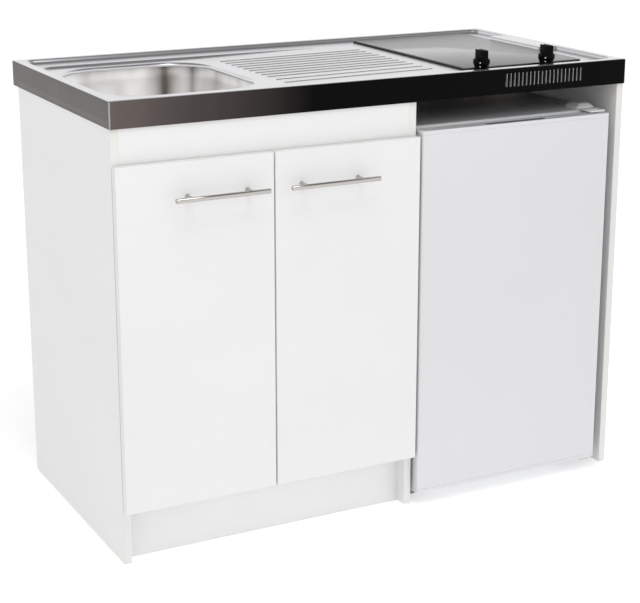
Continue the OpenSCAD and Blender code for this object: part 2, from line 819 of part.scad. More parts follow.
module carcass_screws() { color("silver") in_place() all_screws(0); }

module side_board(x0) {
  color("white") in_place() difference() {
    block([x0, panel_y0, glide_h], [x0 + board_t, panel_y1, panel_z1]);
    all_screws(seat_gap);
  }
}

module left_side_panel() { side_board(left_x); }
module middle_panel() { side_board(cab_x1 - board_t); }
module end_panel() { side_board(end_x1 - board_t); }

// a board between the cabinet's two side panels
module cross_board(y0, z0, y1, z1) {
  color("white") in_place() difference() {
    block([left_x + board_t, y0, z0], [cab_x1 - board_t, y1, z1]);
    all_screws(seat_gap);
  }
}

module apron_rail() {
  cross_board(panel_y0, panel_z1 - apron_h, panel_y0 + board_t, panel_z1);
}
module cabinet_floor() { cross_board(panel_y0, floor_z0, panel_y1, floor_z0 + board_t); }
module plinth_board() {
  y0 = panel_y0 + plinth_recess;
  cross_board(y0, plinth_gap, y0 + board_t, plinth_h);
}
module rear_rails() {
  y0 = panel_y1 - board_t;
  z0 = panel_z1 - rail_h;
  cross_board(y0, z0, panel_y1, panel_z1);
  cross_board(y0, floor_z0 + board_t, panel_y1, floor_z0 + board_t + rail_h);
  color("white") in_place() difference() {
    block([cab_x1, y0, z0], [end_x1 - board_t, panel_y1, panel_z1]);
    all_screws(seat_gap);
  }
}

module glides() {
  end = 40;
  color("white") in_place() for (x = [left_x, cab_x1 - board_t, end_x1 - board_t],
    y = [panel_y0 + end, panel_y1 - end]) rod([x + board_t / 2, y, 0], glide_r, glide_h);
}

// soft pads that the closed doors rest on, either side of the gap between them
module door_buffers() {
  from_gap = 30;
  pad_r = 4;
  at_z = [door_z0 + board_t / 2, door_z1 - 5];
  color("lightgray") in_place() for (side = [-1, 1], z = at_z)
    rod_y([cab_mid_x + side * from_gap, door_back_y + 0.1, z], pad_r, door_gap - 0.1);
}

// ---------------------------------------------------------------- doors and hinges
module hinge_arm(z) {
  x_in = left_x + board_t;
  difference() {
    union() {
      // knuckle on the pin, leg across the cup, leg back into the cabinet, and mounting plate
      rod([hinge_x, hinge_y, z - knuckle_h / 2], knuckle_r, knuckle_h);
      block([hinge_x, hinge_y - leg_t / 2, z - knuckle_h / 2],
        [leg_x0 + leg_t, hinge_y + leg_t / 2, z + knuckle_h / 2]);
      block([leg_x0, hinge_y - leg_t / 2, z - knuckle_h / 2],
        [leg_x0 + leg_t, plate_y0 + plate_d, z + knuckle_h / 2]);
      block([x_in, plate_y0, z - plate_h / 2], [leg_x0, plate_y0 + plate_d, z + plate_h / 2]);
    }
    rod([hinge_x, hinge_y, z - knuckle_h], hinge_pin_r + shaft_gap, 2 * knuckle_h);
  }
}

module hinge_arms() {
  color("silver") in_place() for (z = hinge_zs) {
    hinge_arm(z);
    about_cabinet_middle() hinge_arm(z);
  }
}

module hinge_cup(z) {
  r = cup_r - seat_gap;
  y1 = door_back_y;
  depth = cup_h - 0.1;
  wing_w = 17;
  ear_z = knuckle_h / 2 + seat_gap;
  difference() {
    union() {
      translate([0, 0, z]) {
        difference() {
          rod_y([cup_x, y1 - depth, 0], r, depth);
          rod_y([cup_x, y1 - depth + cup_wall, 0], r - cup_wall, depth);
        }
        // ears that hold the pin, cut to the inside of the cup
        intersection() {
          rod_y([cup_x, y1 - depth, 0], r, depth);
          for (side = [-1, 1]) translate([0, 0, side * (ear_z + ear_h / 2) - ear_h / 2])
            block([hinge_x - 8, y1 - depth, 0], [hinge_x + 4, hinge_y + 4, ear_h]);
        }
        // flange and screw wings on the door's back face
        difference() {
          union() {
            rod_y([cup_x, y1, 0], cup_r, 1);
            block([cup_x - wing_w / 2, y1, -26], [cup_x + wing_w / 2, y1 + 1, 26]);
          }
          rod_y([cup_x, y1 - cut, 0], r - cup_wall, 2 + cut);
        }
      }
    }
    rod([hinge_x, hinge_y, z - cup_r], hinge_pin_r + shaft_gap, 2 * cup_r);
  }
}

module hinge_pin(z) {
  half = knuckle_h / 2 + seat_gap + ear_h;
  rod([hinge_x, hinge_y, z - half], hinge_pin_r, 2 * half);
}

module door_board() {
  color("white") difference() {
    block([left_x, door_y, door_z0], [left_x + door_w, door_back_y, door_z1]);
    for (z = hinge_zs) rod_y([cup_x, door_back_y - cup_h, z], cup_r, cup_h + cut);
  }
}

module handle() {
  x1 = left_x + door_w - bar_from_edge;
  mid = x1 - bar_l / 2;
  z = door_z1 - bar_drop;
  color("silver") {
    rod_x([x1 - bar_l, bar_y, z], bar_r, bar_l);
    for (side = [-1, 1]) rod_y([mid + side * post_pitch / 2, bar_y, z], post_r, door_y - bar_y);
  }
}

module left_door() { in_place() door_board(); }
module left_handle() { in_place() handle(); }
module left_hinge_cups() { color("silver") in_place() for (z = hinge_zs) hinge_cup(z); }
module left_hinge_pins() { color("gray") in_place() for (z = hinge_zs) hinge_pin(z); }
module right_door() { in_place() about_cabinet_middle() door_board(); }
module right_handle() { in_place() about_cabinet_middle() handle(); }
module right_hinge_cups() {
  color("silver") in_place() about_cabinet_middle() for (z = hinge_zs) hinge_cup(z);
}
module right_hinge_pins() {
  color("gray") in_place() about_cabinet_middle() for (z = hinge_zs) hinge_pin(z);
}

// ---------------------------------------------------------------- refrigerator body
// the body's outline from the side, inset by g, with its front edge at y0
function body_outline(g, y0) = [
  [y0, case_z0 + g], [case_y1 - niche_d - g, case_z0 + g],
  [case_y1 - niche_d - g, case_z0 + niche_h + g], [case_y1 - g, case_z0 + niche_h + g],
  [case_y1 - g, fridge_h - g], [y0, fridge_h - g]];

// the food space's outline from the side, grown by g, with its front edge at y0
function cavity_outline(g, y0) = [
  [y0, cav_z0 - g], [step_y + g, cav_z0 - g], [step_y + g, step_z - g],
  [cav_y1 + g, step_z - g], [cav_y1 + g, cav_z1 + g], [y0, cav_z1 + g]];

module fridge_case() {
  color("white") in_place() {
    difference() {
      side_profile(body_outline(0, case_y0), fridge_x0, fridge_x1);
      side_profile(body_outline(case_t, case_y0 - cut), fridge_x0 + case_t,
        fridge_x1 - case_t);
    }
    // the side sheets reach down past the compressor's niche
    for (x = [fridge_x0, fridge_x1 - case_t])
      block([x, case_y1 - niche_d, case_z0], [x + case_t, case_y1, case_z0 + niche_h]);
  }
}

module fridge_insulation() {
  color("khaki") in_place() difference() {
    side_profile(body_outline(case_t, case_y0 + liner_t), fridge_x0 + case_t,
      fridge_x1 - case_t);
    side_profile(cavity_outline(liner_t, case_y0 - cut), cav_x0 - liner_t, cav_x1 + liner_t);
  }
}

module fridge_liner() {
  color("white") in_place() {
    difference() {
      union() {
        side_profile(cavity_outline(liner_t, case_y0), cav_x0 - liner_t, cav_x1 + liner_t);
        block([fridge_x0 + case_t, case_y0, case_z0 + case_t],
          [fridge_x1 - case_t, case_y0 + liner_t, fridge_h - case_t]);
      }
      side_profile(cavity_outline(0, case_y0 - cut), cav_x0, cav_x1);
    }
    // ledges that carry the two glass shelves
    for (z = [shelf_z, upper_shelf_z], x = [cav_x0, cav_x1 - ledge_w])
      block([x, shelf_y0, z - ledge_h], [x + ledge_w, cav_y1, z]);
  }
}

module freezer_box() {
  t = 2;
  lo = [cav_x0 + 4, case_y0 + 26, freezer_z0];
  hi = [cav_x1 - 4, cav_y1 - 10, cav_z1];
  color("whitesmoke") in_place() difference() {
    block(lo, hi);
    block([lo[0] + t, lo[1] - cut, lo[2] + t], [hi[0] - t, hi[1] - t, hi[2] - t]);
  }
}

module freezer_flap() {
  t = 8;
  peg_r = 2;
  y1 = case_y0 + 26 - slide_gap;
  color("ghostwhite") in_place() {
    block([cav_x0 + 5, y1 - t, freezer_z0 + 1], [cav_x1 - 5, y1, cav_z1 - 2]);
    for (x = [cav_x0 + 9, cav_x1 - 9]) rod([x, y1 - t / 2, cav_z1 - 2], peg_r, 2);
  }
}

module glass_shelves() {
  color("#b8d0cc") in_place() for (z = [shelf_z, upper_shelf_z])
    block([cav_x0 + slide_gap, shelf_y0, z],
      [cav_x1 - slide_gap, cav_y1 - slide_gap, z + shelf_t]);
}

module salad_drawer() {
  t = 2;
  lo = [cav_x0 + 8, drawer_y0, cav_z0];
  hi = [cav_x1 - 8, step_y - 4, cav_z0 + crisper_h];
  color("#d8e4e4") in_place() difference() {
    block(lo, hi);
    block([lo[0] + t, lo[1] + t, lo[2] + t], [hi[0] - t, hi[1] - t, hi[2] + cut]);
    rod_y([(lo[0] + hi[0]) / 2, lo[1] - cut, hi[2]], 22, t + 2 * cut);
  }
}

dial_r = 14;
dial_t = 10;

module thermostat_box() {
  h = 44;
  color("white") in_place() difference() {
    block([dial_x, dial_y - 45, dial_z - h / 2], [cav_x1, dial_y + 45, dial_z + h / 2]);
    rod_x([dial_x - cut, dial_y, dial_z], spindle_r + shaft_gap, 12 + cut);
  }
}

module thermostat_dial() {
  color("gainsboro") in_place() {
    rod_x([dial_x - dial_t - slide_gap, dial_y, dial_z], dial_r, dial_t);
    rod_x([dial_x - slide_gap - cut, dial_y, dial_z], spindle_r, 10 + cut);
    block([dial_x - dial_t - 4, dial_y - 2, dial_z - dial_r + 2],
      [dial_x - dial_t, dial_y + 2, dial_z + dial_r - 2]);
  }
}

module fridge_feet() {
  color("white") in_place() for (x = [fridge_x0 + 28, fridge_x1 - 44],
    y = [case_y0 + 26, case_y1 - niche_d - 20]) {
    rod([x, y, 0], 13, foot_h - 6);
    rod([x, y, foot_h - 6], 5, case_z0 - foot_h + 6);
  }
}

plate_t = 3;

module compressor_plate() {
  y0 = case_y1 - niche_d;
  x0 = fridge_x0 + case_t;
  x1 = fridge_x1 - case_t;
  cheek_t = 1.5;
  color("dimgray") in_place() {
    block([x0, y0, case_z0], [x1, case_y1, case_z0 + plate_t]);
    for (x = [x0, x1 - cheek_t])
      block([x, y0, case_z0], [x + cheek_t, case_y1, case_z0 + niche_h]);
  }
}

module compressor() {
  foot_z0 = case_z0 + plate_t;
  tray_t = 3;
  tray_x = can_r + 17;
  tray_y = can_r - 8;
  foot_in = 11;
  foot_r = 7;
  crown_r = 20;
  color("#202020") in_place() {
    for (sx = [-1, 1], sy = [-1, 1])
      rod([can_x + sx * (tray_x - foot_in), can_y + sy * (tray_y - foot_in), foot_z0], foot_r,
        can_z0 - foot_z0 - tray_t);
    block([can_x - tray_x, can_y - tray_y, can_z0 - tray_t],
      [can_x + tray_x, can_y + tray_y, can_z0]);
    // welded can with a rounded crown and a girdle seam
    translate([can_x, can_y, can_z0]) rotate_extrude() {
      square([can_r - crown_r, can_h]);
      square([can_r, can_h - crown_r]);
      intersection() {
        translate([can_r - crown_r, can_h - crown_r]) circle(crown_r);
        square([can_r, can_h]);
      }
      translate([0, can_h / 2]) square([can_r + 2, 6]);
    }
    // electric box on the can's side
    block([can_x + can_r - 8, can_y - 25, can_z0 + 10],
      [can_x + can_r + 28, can_y + 25, can_z0 + 55]);
  }
}

// a stretch of the condenser's bend, in the X-Z plane, from angle a0 over sweep
module coil_bend(centre, a0, sweep) {
  translate(centre) rotate([90, 0, 0]) rotate(a0) rotate_extrude(angle = sweep)
    translate([coil_pitch / 2, 0]) circle(coil_r);
}

module condenser_tube() {
  bend = coil_pitch / 2;
  drop_x = coil_x0 - bend;
  // the tube meets the can below its girdle seam
  low_z = can_z0 + can_h / 3;
  drop_z = low_z + bend;
  color("#1a1a1a") in_place() {
    for (i = [0:coil_runs - 1])
      rod_x([coil_x0, coil_y, coil_z0 + i * coil_pitch], coil_r, coil_x1 - coil_x0);
    // return bends join the runs at alternate ends
    for (i = [0:coil_runs - 2]) coil_bend([i % 2 == 0 ? coil_x1 : coil_x0, coil_y,
      coil_z0 + (i + 0.5) * coil_pitch], i % 2 == 0 ? -90 : 90, 180);
    // the lower end drops into the niche and turns to the compressor
    coil_bend([coil_x0, coil_y, coil_z0 - bend], 90, 90);
    rod([drop_x, coil_y, drop_z], coil_r, coil_z0 - bend - drop_z);
    coil_bend([coil_x0, coil_y, drop_z], 180, 90);
    rod_x([coil_x0, coil_y, low_z], coil_r, can_x - bend - coil_x0);
    translate([can_x - bend, coil_y - bend, low_z]) rotate_extrude(angle = 90)
      translate([bend, 0]) circle(coil_r);
    rod_y([can_x, can_y + can_r + 0.1, low_z], coil_r, coil_y - bend - can_y - can_r - 0.1);
    // spacers hold the coil off the case
    for (x = [coil_x0 + 25, coil_x1 - 25], i = [1, coil_runs - 2])
      rod_y([x, case_y1, coil_z0 + i * coil_pitch], 4, coil_y - case_y1);
  }
}

module condenser_wires() {
  wire_r = 0.8;
  run_h = (coil_runs - 1) * coil_pitch;
  step = (coil_x1 - coil_x0 - 20) / (wire_count - 1);
  color("#1a1a1a") in_place() for (i = [0:wire_count - 1])
    rod([coil_x0 + 10 + i * step, coil_y + coil_r + wire_r + 0.1, coil_z0 - 10], wire_r,
      run_h + 20);
}

// ---------------------------------------------------------------- refrigerator door
hinge_plate_t = 3;
fpin_l = 16;

module top_hinge() {
  color("silver") in_place() {
    block([fhinge_x - 30, fhinge_y - 10, fridge_h], [fridge_x1 - 2, case_y0 + 50,
      fridge_h + hinge_plate_t]);
    rod([fhinge_x, fhinge_y, fdoor_z1 - fpin_l], fpin_r, fridge_h - fdoor_z1 + fpin_l);
  }
}

// a plastic cap over the hinge plate where it is screwed to the body
module hinge_cover() {
  t = 2;
  lo = [fhinge_x - 34, case_y0 + 2, fridge_h];
  hi = [fridge_x1, case_y0 + 56, fridge_h + 12];
  color("whitesmoke") in_place() difference() {
    block(lo, hi);
    block([lo[0] + t, lo[1] + t, lo[2] - cut], [hi[0] - 1, hi[1] - t, hi[2] - t]);
    block([lo[0] + t, lo[1] - cut, lo[2] - cut],
      [hi[0] - 1, hi[1] - t, lo[2] + hinge_plate_t + seat_gap]);
  }
}

module bottom_hinge() {
  color("silver") in_place() {
    block([fhinge_x - 22, fhinge_y - 10, foot_h], [fridge_x1 - 2, case_y0 + 40, case_z0]);
    rod([fhinge_x, fhinge_y, case_z0], fpin_r, fdoor_z0 - case_z0 + fpin_l);
  }
}

grip_x0 = (fridge_x0 + fridge_x1 - grip_w) / 2;
grip_y0 = fdoor_y + 6;
grip_y1 = grip_y0 + 18;
grip_z0 = fdoor_z1 - 22;
grip_skin = 1.5;
door_edge_r = 5;
bush_r = 8;

// the door's steel skin encloses this block, inset by g and cut off at y1
module door_block(g, y1) {
  intersection() {
    round_slab(fridge_x0 + g, fdoor_y + g, fridge_x1 - g, fdoor_back_y + door_edge_r,
      door_edge_r - g, fdoor_z0 + g, fdoor_z1 - g);
    block([fridge_x0, fdoor_y, fdoor_z0], [fridge_x1, y1, fdoor_z1]);
  }
}

// the walls of the finger recess, and the bushes that the hinge pins turn in
module door_fittings() {
  block([grip_x0 - grip_skin, grip_y0 - grip_skin, grip_z0 - grip_skin],
    [grip_x0 + grip_w + grip_skin, grip_y1 + grip_skin, fdoor_z1]);
  rod([fhinge_x, fhinge_y, fdoor_z0], bush_r, fpin_l + 4);
  rod([fhinge_x, fhinge_y, fdoor_z1 - fpin_l - 4], bush_r, fpin_l + 4);
}

module fridge_door() {
  color("white") in_place() difference() {
    union() {
      difference() {
        door_block(0, pan_y1);
        door_block(case_t, pan_y1 + cut);
      }
      door_fittings();
    }
    block([grip_x0, grip_y0, grip_z0], [grip_x0 + grip_w, grip_y1, fdoor_z1 + cut]);
    rod([fhinge_x, fhinge_y, fdoor_z1 - fpin_l - cut], fpin_r + shaft_gap, fpin_l + 2 * cut);
    rod([fhinge_x, fhinge_y, fdoor_z0 - cut], fpin_r + shaft_gap, fpin_l + 2 * cut);
  }
}

// the tray-shaped back of the door; g is 0 outside and liner_t for the space inside it
module door_tray(g) {
  edge = 8 + g;
  block([fridge_x0 + edge, pan_y1 - liner_t - cut * g, fdoor_z0 + edge],
    [fridge_x1 - edge, fdoor_back_y - g, fdoor_z1 - edge]);
}

module fridge_door_foam() {
  color("khaki") in_place() difference() {
    union() {
      door_block(case_t, pan_y1 - liner_t);
      door_tray(liner_t);
    }
    door_fittings();
  }
}

// the racks' floors and rims, low, middle and high
bottle_rack_h = 90;
jar_rack_h = 70;
egg_rack_h = 60;
rack_clear = 2;
rack_zs = [[cav_z0 + 24, cav_z0 + 24 + bottle_rack_h],
  [upper_shelf_z - rack_clear - jar_rack_h, upper_shelf_z - rack_clear],
  [freezer_z0 - 28 - egg_rack_h, freezer_z0 - 28]];

module fridge_door_liner() {
  rib_d = 24;
  y0 = pan_y1 - liner_t;
  color("ghostwhite") in_place() {
    difference() {
      union() {
        block([fridge_x0 + case_t, y0, fdoor_z0 + case_t],
          [fridge_x1 - case_t, pan_y1, fdoor_z1 - case_t]);
        door_tray(0);
      }
      door_tray(liner_t);
    }
    // two upright ribs that the racks hang between
    for (x = [rack_x0 - rack_rib_t, rack_x1])
      block([x, fdoor_back_y, cav_z0 + 20], [x + rack_rib_t, fdoor_back_y + rib_d, cav_z1 - 20]);
  }
}

module door_gasket() {
  edge = 10;
  w = 14;
  lo = [fridge_x0 + edge, fdoor_z0 + edge];
  hi = [fridge_x1 - edge, fdoor_z1 - edge];
  y1 = case_y0 - 0.8;
  color("lightgray") in_place() difference() {
    block([lo[0], fdoor_back_y, lo[1]], [hi[0], y1, hi[1]]);
    block([lo[0] + w, fdoor_back_y - cut, lo[1] + w], [hi[0] - w, y1 + cut, hi[1] - w]);
  }
}

module door_racks() {
  t = 2;
  color("#dfe8e8") in_place() for (span = rack_zs) {
    lo = [rack_x0, fdoor_back_y, span[0]];
    hi = [rack_x1, fdoor_back_y + rack_d, span[1]];
    difference() {
      block(lo, hi);
      block(lo + [t, t, t], [hi[0] - t, hi[1] - t, hi[2] + cut]);
    }
  }
}

// ---------------------------------------------------------------- the pieces
worktop_sheet();
sink_bowl();
sink_waste();
waste_seal();
waste_nut();
trap_pipe();
outlet_pipe();
worktop_battens();
hob_glass();
hob_seal();
hob_tray();
heater_dishes();
heater_strips();
regulators();
terminal_box();
left_knob();
left_spindle();
right_knob();
right_spindle();
left_side_panel();
middle_panel();
end_panel();
apron_rail();
cabinet_floor();
plinth_board();
rear_rails();
glides();
carcass_screws();
door_buffers();
hinge_arms();
left_door();
left_handle();
left_hinge_cups();
left_hinge_pins();
right_door();
right_handle();
right_hinge_cups();
right_hinge_pins();
fridge_case();
fridge_insulation();
fridge_liner();
freezer_box();
freezer_flap();
glass_shelves();
salad_drawer();
thermostat_box();
thermostat_dial();
fridge_feet();
compressor();
compressor_plate();
condenser_tube();
condenser_wires();
top_hinge();
hinge_cover();
bottom_hinge();
fridge_door();
fridge_door_foam();
fridge_door_liner();
door_gasket();
door_racks();
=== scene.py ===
# %% [markdown]
# # A kitchenette: steel worktop with sink and hob, sink cabinet, table-top refrigerator
# The solid model of this unit is already packed, with its hinges and knobs. This lesson gives it its
# looks. Each real piece is made again with its bends, rims, screws and finish, in the place where the
# solid stands, and rides on the same moving body.
# First the imported model is loaded.

# %% Load the fixed frame
from math import atan2, cos, hypot, pi, radians, sin

import bmesh
import bpy
from mathutils import Matrix, Vector


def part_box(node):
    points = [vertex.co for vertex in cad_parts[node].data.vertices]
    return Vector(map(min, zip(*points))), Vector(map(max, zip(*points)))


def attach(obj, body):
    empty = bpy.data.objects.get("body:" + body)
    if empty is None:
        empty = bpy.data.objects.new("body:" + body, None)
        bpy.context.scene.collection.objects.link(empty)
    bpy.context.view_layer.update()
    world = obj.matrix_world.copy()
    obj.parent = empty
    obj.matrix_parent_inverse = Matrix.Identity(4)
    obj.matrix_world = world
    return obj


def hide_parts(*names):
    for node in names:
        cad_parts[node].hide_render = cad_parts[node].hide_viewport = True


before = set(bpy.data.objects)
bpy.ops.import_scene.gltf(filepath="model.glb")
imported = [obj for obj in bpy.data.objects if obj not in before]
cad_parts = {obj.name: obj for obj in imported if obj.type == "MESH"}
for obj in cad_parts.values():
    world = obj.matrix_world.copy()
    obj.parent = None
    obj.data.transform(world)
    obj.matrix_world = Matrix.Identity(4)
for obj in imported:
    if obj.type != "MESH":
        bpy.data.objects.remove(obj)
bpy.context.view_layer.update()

# %% [markdown]
# Lengths below are in millimetres, as on a workshop drawing. X runs along the worktop from its middle,
# Y starts at the worktop's front edge and goes to the wall, and Z starts at the floor. The places that
# both a finish and a shape need are named here once.

# %% Places in millimetres
MM = 0.001
front_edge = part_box("worktop_sheet")[0].y / MM
half_length = 600
bowl_x, bowl_y = -385, 292
hob_x, hob_zones = 371, ((178, 72), (401, 90))  # each zone: its middle's y and its radius


def stand(name, data):
    """A new object in the scene."""
    thing = bpy.data.objects.new(name, data)
    bpy.context.scene.collection.objects.link(thing)
    return thing


print(f"front edge of the worktop at y = {front_edge:.1f} mm in the frame")

# %% [markdown]
# The camera comes first, because every choice of detail depends on what it sees. The picture was taken
# from the left, a little above the worktop, with a long lens. A long lens far away keeps the upright
# boards nearly parallel. A small shift moves the frame down without tilting the camera more.

# %% The camera
image_width, focal_in_pixels, sensor_width = 640, 1629, 36
yaw, pitch = radians(27.45), radians(15.64)
gaze = Vector((sin(yaw) * cos(pitch), cos(yaw) * cos(pitch), -sin(pitch)))
lens = bpy.data.cameras.new("studio_camera")
lens.sensor_width = sensor_width
lens.lens = focal_in_pixels * sensor_width / image_width
lens.shift_y = -0.05
lens.clip_end = 100
camera = stand("studio_camera", lens)
camera.rotation_mode = "QUATERNION"
camera.rotation_quaternion = gaze.to_track_quat("-Z", "Y")
camera.location = (-1.636, -3.125, 1.467)
bpy.context.scene.camera = camera
print(f"lens {lens.lens:.1f} mm at {camera.location.length:.2f} m")

# %% [markdown]
# Shader maths reads best as ordinary sums. `Value` wraps one socket, and each operator adds a Math
# node, so `0.2 + 0.1 * streak` becomes two nodes. `Nodes` adds any other node with one method: its
# settings first, because some of them change its sockets, and then the values or links. The same two
# classes serve the materials and the Geometry Nodes trees.

# %% Node sums and a node maker
class Value:
    """One output socket that can be used in a sum."""

    def __init__(self, nodes, socket):
        self.nodes, self.socket = nodes, socket

    def __add__(self, other):
        return self.nodes.maths("ADD", self, other)

    def __radd__(self, other):
        return self.nodes.maths("ADD", other, self)

    def __sub__(self, other):
        return self.nodes.maths("SUBTRACT", self, other)

    def __rsub__(self, other):
        return self.nodes.maths("SUBTRACT", other, self)

    def __mul__(self, other):
        return self.nodes.maths("MULTIPLY", self, other)

    def __rmul__(self, other):
        return self.nodes.maths("MULTIPLY", other, self)

    def __truediv__(self, other):
        return self.nodes.maths("DIVIDE", self, other)

    def __pow__(self, other):
        return self.nodes.maths("POWER", self, other)

    def __abs__(self):
        return self.nodes.maths("ABSOLUTE", self)

    def __lt__(self, other):
        return self.nodes.maths("LESS_THAN", self, other)

    def clamp(self):
        return self.nodes.maths("MINIMUM", self.nodes.maths("MAXIMUM", self, 0.0), 1.0)


class Nodes:
    """A node tree that is built one node at a time."""

    def __init__(self, tree):
        self.tree = tree

    def node(self, kind, settings=None, values=(), out=0):
        made = self.tree.nodes.new(kind)
        for name, setting in (settings or {}).items():
            setattr(made, name, setting)
        for key, value in values.items() if isinstance(values, dict) else enumerate(values):
            for one in value if isinstance(value, list) else [value]:
                if isinstance(one, Value):
                    self.tree.links.new(one.socket, made.inputs[key])
                else:
                    made.inputs[key].default_value = one
        return Value(self, made.outputs[out]) if len(made.outputs) else None

    def maths(self, operation, *values):
        return self.node("ShaderNodeMath", {"operation": operation}, values)


def srgb(red, green, blue):
    """A colour as a paint program shows it, 0 to 255, made linear for Blender."""
    parts = (c / 255 for c in (red, green, blue))
    return (*(c / 12.92 if c <= 0.04045 else ((c + 0.055) / 1.055) ** 2.4 for c in parts), 1.0)


print("a painter's grey of 128 is", round(srgb(128, 128, 128)[0], 3), "in linear light")

# %% [markdown]
# A `Finish` is a material whose pattern comes from the piece's own Object coordinates. `x`, `y` and
# `z` are the place in millimetres. `grain` is noise that can be stretched: brushed steel is noise with
# long cells along the brushing and short ones across it. Colours are given as a paint program shows
# them.

# %% The finish maker
SOCKETS = {"colour": "Base Color", "rough": "Roughness", "metal": "Metallic", "normal": "Normal",
           "alpha": "Alpha", "coat": "Coat Weight", "ior": "IOR", "glow": "Emission Color",
           "glow_power": "Emission Strength"}


class Finish(Nodes):
    def __init__(self, name):
        self.material = bpy.data.materials.new(name)
        self.material.use_nodes = True
        super().__init__(self.material.node_tree)
        self.tree.nodes.clear()
        self.place = self.node("ShaderNodeTexCoord", out=3)
        parts = self.node("ShaderNodeSeparateXYZ", values=[self.place]).socket.node
        self.x = Value(self, parts.outputs[0]) / MM
        self.y = Value(self, parts.outputs[1]) / MM - front_edge
        self.z = Value(self, parts.outputs[2]) / MM

    def grain(self, cells, detail=3.0, roughness=0.55):
        """Noise from 0 to 1; cells is their number for each metre, or one for each of X, Y and Z."""
        scale = cells if isinstance(cells, tuple) else (cells, cells, cells)
        placed = self.node("ShaderNodeMapping", values={"Vector": self.place, "Scale": scale})
        return self.node("ShaderNodeTexNoise", {"noise_dimensions": "3D"},
                         {"Vector": placed, "Scale": 1.0, "Detail": detail, "Roughness": roughness})

    def cells(self, size, out=0):
        """Voronoi cells of about this size in millimetres."""
        return self.node("ShaderNodeTexVoronoi", values={"Vector": self.place, "Scale": 1000 / size}, out=out)

    def blend(self, share, *colours):
        first, second = (srgb(*c) if isinstance(c, tuple) else c for c in colours)
        return self.node("ShaderNodeMix", {"data_type": "RGBA"}, {0: share, 6: first, 7: second}, out=2)

    def relief(self, height, depth):
        """A normal from a height of 0 to 1 that stands for this many millimetres."""
        return self.node("ShaderNodeBump", values={"Strength": 1.0, "Distance": depth * MM, "Height": height})

    def surface(self, **values):
        shaded = self.node("ShaderNodeBsdfPrincipled", values={SOCKETS[k]: v for k, v in values.items()})
        self.node("ShaderNodeOutputMaterial", values=[shaded])
        return self.material


print("a finish can set:", ", ".join(SOCKETS))

# %% [markdown]
# Stainless steel: the sheet is brushed along its length, so the streaks run along X on the top. The
# folded edges are the same steel, but they face the dark side of the studio, and their dark tones are a
# painted reflection of it: the front fold is painted dark brown at the left corner and fades to almost
# black towards the hob along X. The side fold is brushed upright, painted dark, and has a painted
# highlight along its bend. The bowl is drawn deep and then polished from its middle outwards, which
# leaves a soft random tone that runs down the walls like spokes. Its two darker bands are painted
# reflections, and its tone brightens towards the floor as painted light.

# %% Finishes of the worktop and the bowl
def steel(name, dark, light, brushing, rough, spread=0.16, relief=0.01):
    look = Finish(name)
    streak = look.grain(brushing, detail=4.0)
    cloud = look.grain((3, 4, 4), detail=2.0)
    return look.surface(colour=look.blend(streak, dark, light), metal=1.0,
                        rough=rough + spread * streak + 0.08 * cloud, normal=look.relief(streak, relief))


top_steel = steel("brushed_worktop_steel", (205, 204, 206), (222, 221, 224), (4, 700, 700), 0.2, 0.1, 0.003)
# The back of the sheet and of the bowl is dark steel.
under_steel = steel("coated_underside", (44, 44, 46), (60, 60, 62), 30, 0.5)
waste_steel = steel("polished_waste", (196, 196, 196), (224, 223, 222), 200, 0.1, 0.06)

look = Finish("dark_front_fold")
# Painted reflection: the fold's colour fades from dark brown at the left corner to almost black along X.
reflection_fade_length = 430
along = ((look.x + half_length) / reflection_fade_length).clamp()
streak = look.grain((14, 300, 1.5))
warm = look.blend(streak, (84, 77, 75), (108, 100, 97))
front_fold = look.surface(colour=look.blend(along ** 0.8, warm, (2, 2, 3)), metal=0.1, ior=1.15,
                          rough=0.36 + 0.16 * streak, normal=look.relief(look.grain((4, 900, 900)), 0.006))

look = Finish("brushed_side_fold")
streak = look.grain((26, 12, 1.2), detail=2.0)
fine = look.grain((400, 400, 6))
# Painted reflection: the side fold's dark tone stands for the dark side of the studio mirrored in the steel.
tone = look.blend(streak, (56, 52, 48), (72, 68, 63))
tone = look.blend(0.2 * fine, tone, (100, 96, 90))
# Painted highlight: a light strip along the bend at the front-left corner.
highlight_width = 2.6
painted_bend_highlight = (1.3 - (look.x + half_length + look.y) / highlight_width).clamp()
side_fold = look.surface(colour=look.blend(painted_bend_highlight, tone, (206, 202, 198)), metal=0.3,
                         rough=0.3 + 0.2 * fine, normal=look.relief(fine, 0.008))

look = Finish("satin_bowl_steel")
east, north = look.x - bowl_x, look.y - bowl_y
heading = look.maths("ARCTAN2", north, east) * (180 / pi)
reach = (east ** 2.0 + north ** 2.0) ** 0.5
spokes = look.node("ShaderNodeCombineXYZ", values=[east / reach, north / reach, look.z / 400])
drawn = look.node("ShaderNodeTexNoise", values={"Vector": spokes, "Scale": 3.2, "Detail": 1.5})
# Painted reflections: two darker bands at fixed headings round the bowl.
bands = 0.0
for band_heading, half_width, strength in ((64, 16, 1.0), (47, 7, 0.6)):
    bands = bands + strength * (1 - abs(heading - band_heading) / half_width).clamp() ** 2.0
# Painted light: the tone grows brighter towards the bowl's floor.
wall_top, wall_height = 930, 140
deep = ((wall_top - look.z) / wall_height).clamp()
shade = (0.9 * drawn + 0.26 + 0.4 * deep - 0.8 * bands).clamp()
fine = look.grain(260)
bowl_steel = look.surface(colour=look.blend(shade, (100, 93, 88), (253, 252, 251)), metal=0.55,
                          rough=0.42 + 0.08 * drawn + 0.05 * fine, normal=look.relief(fine, 0.004))
print("steel finishes:", top_steel.name, front_fold.name, side_fold.name, bowl_steel.name)

# %% [markdown]
# The hob's glass is dark and very smooth, and reflects the pale studio. Two thin printed rings mark
# each heated zone: a ring is where the distance from the zone's middle is within half a line width.

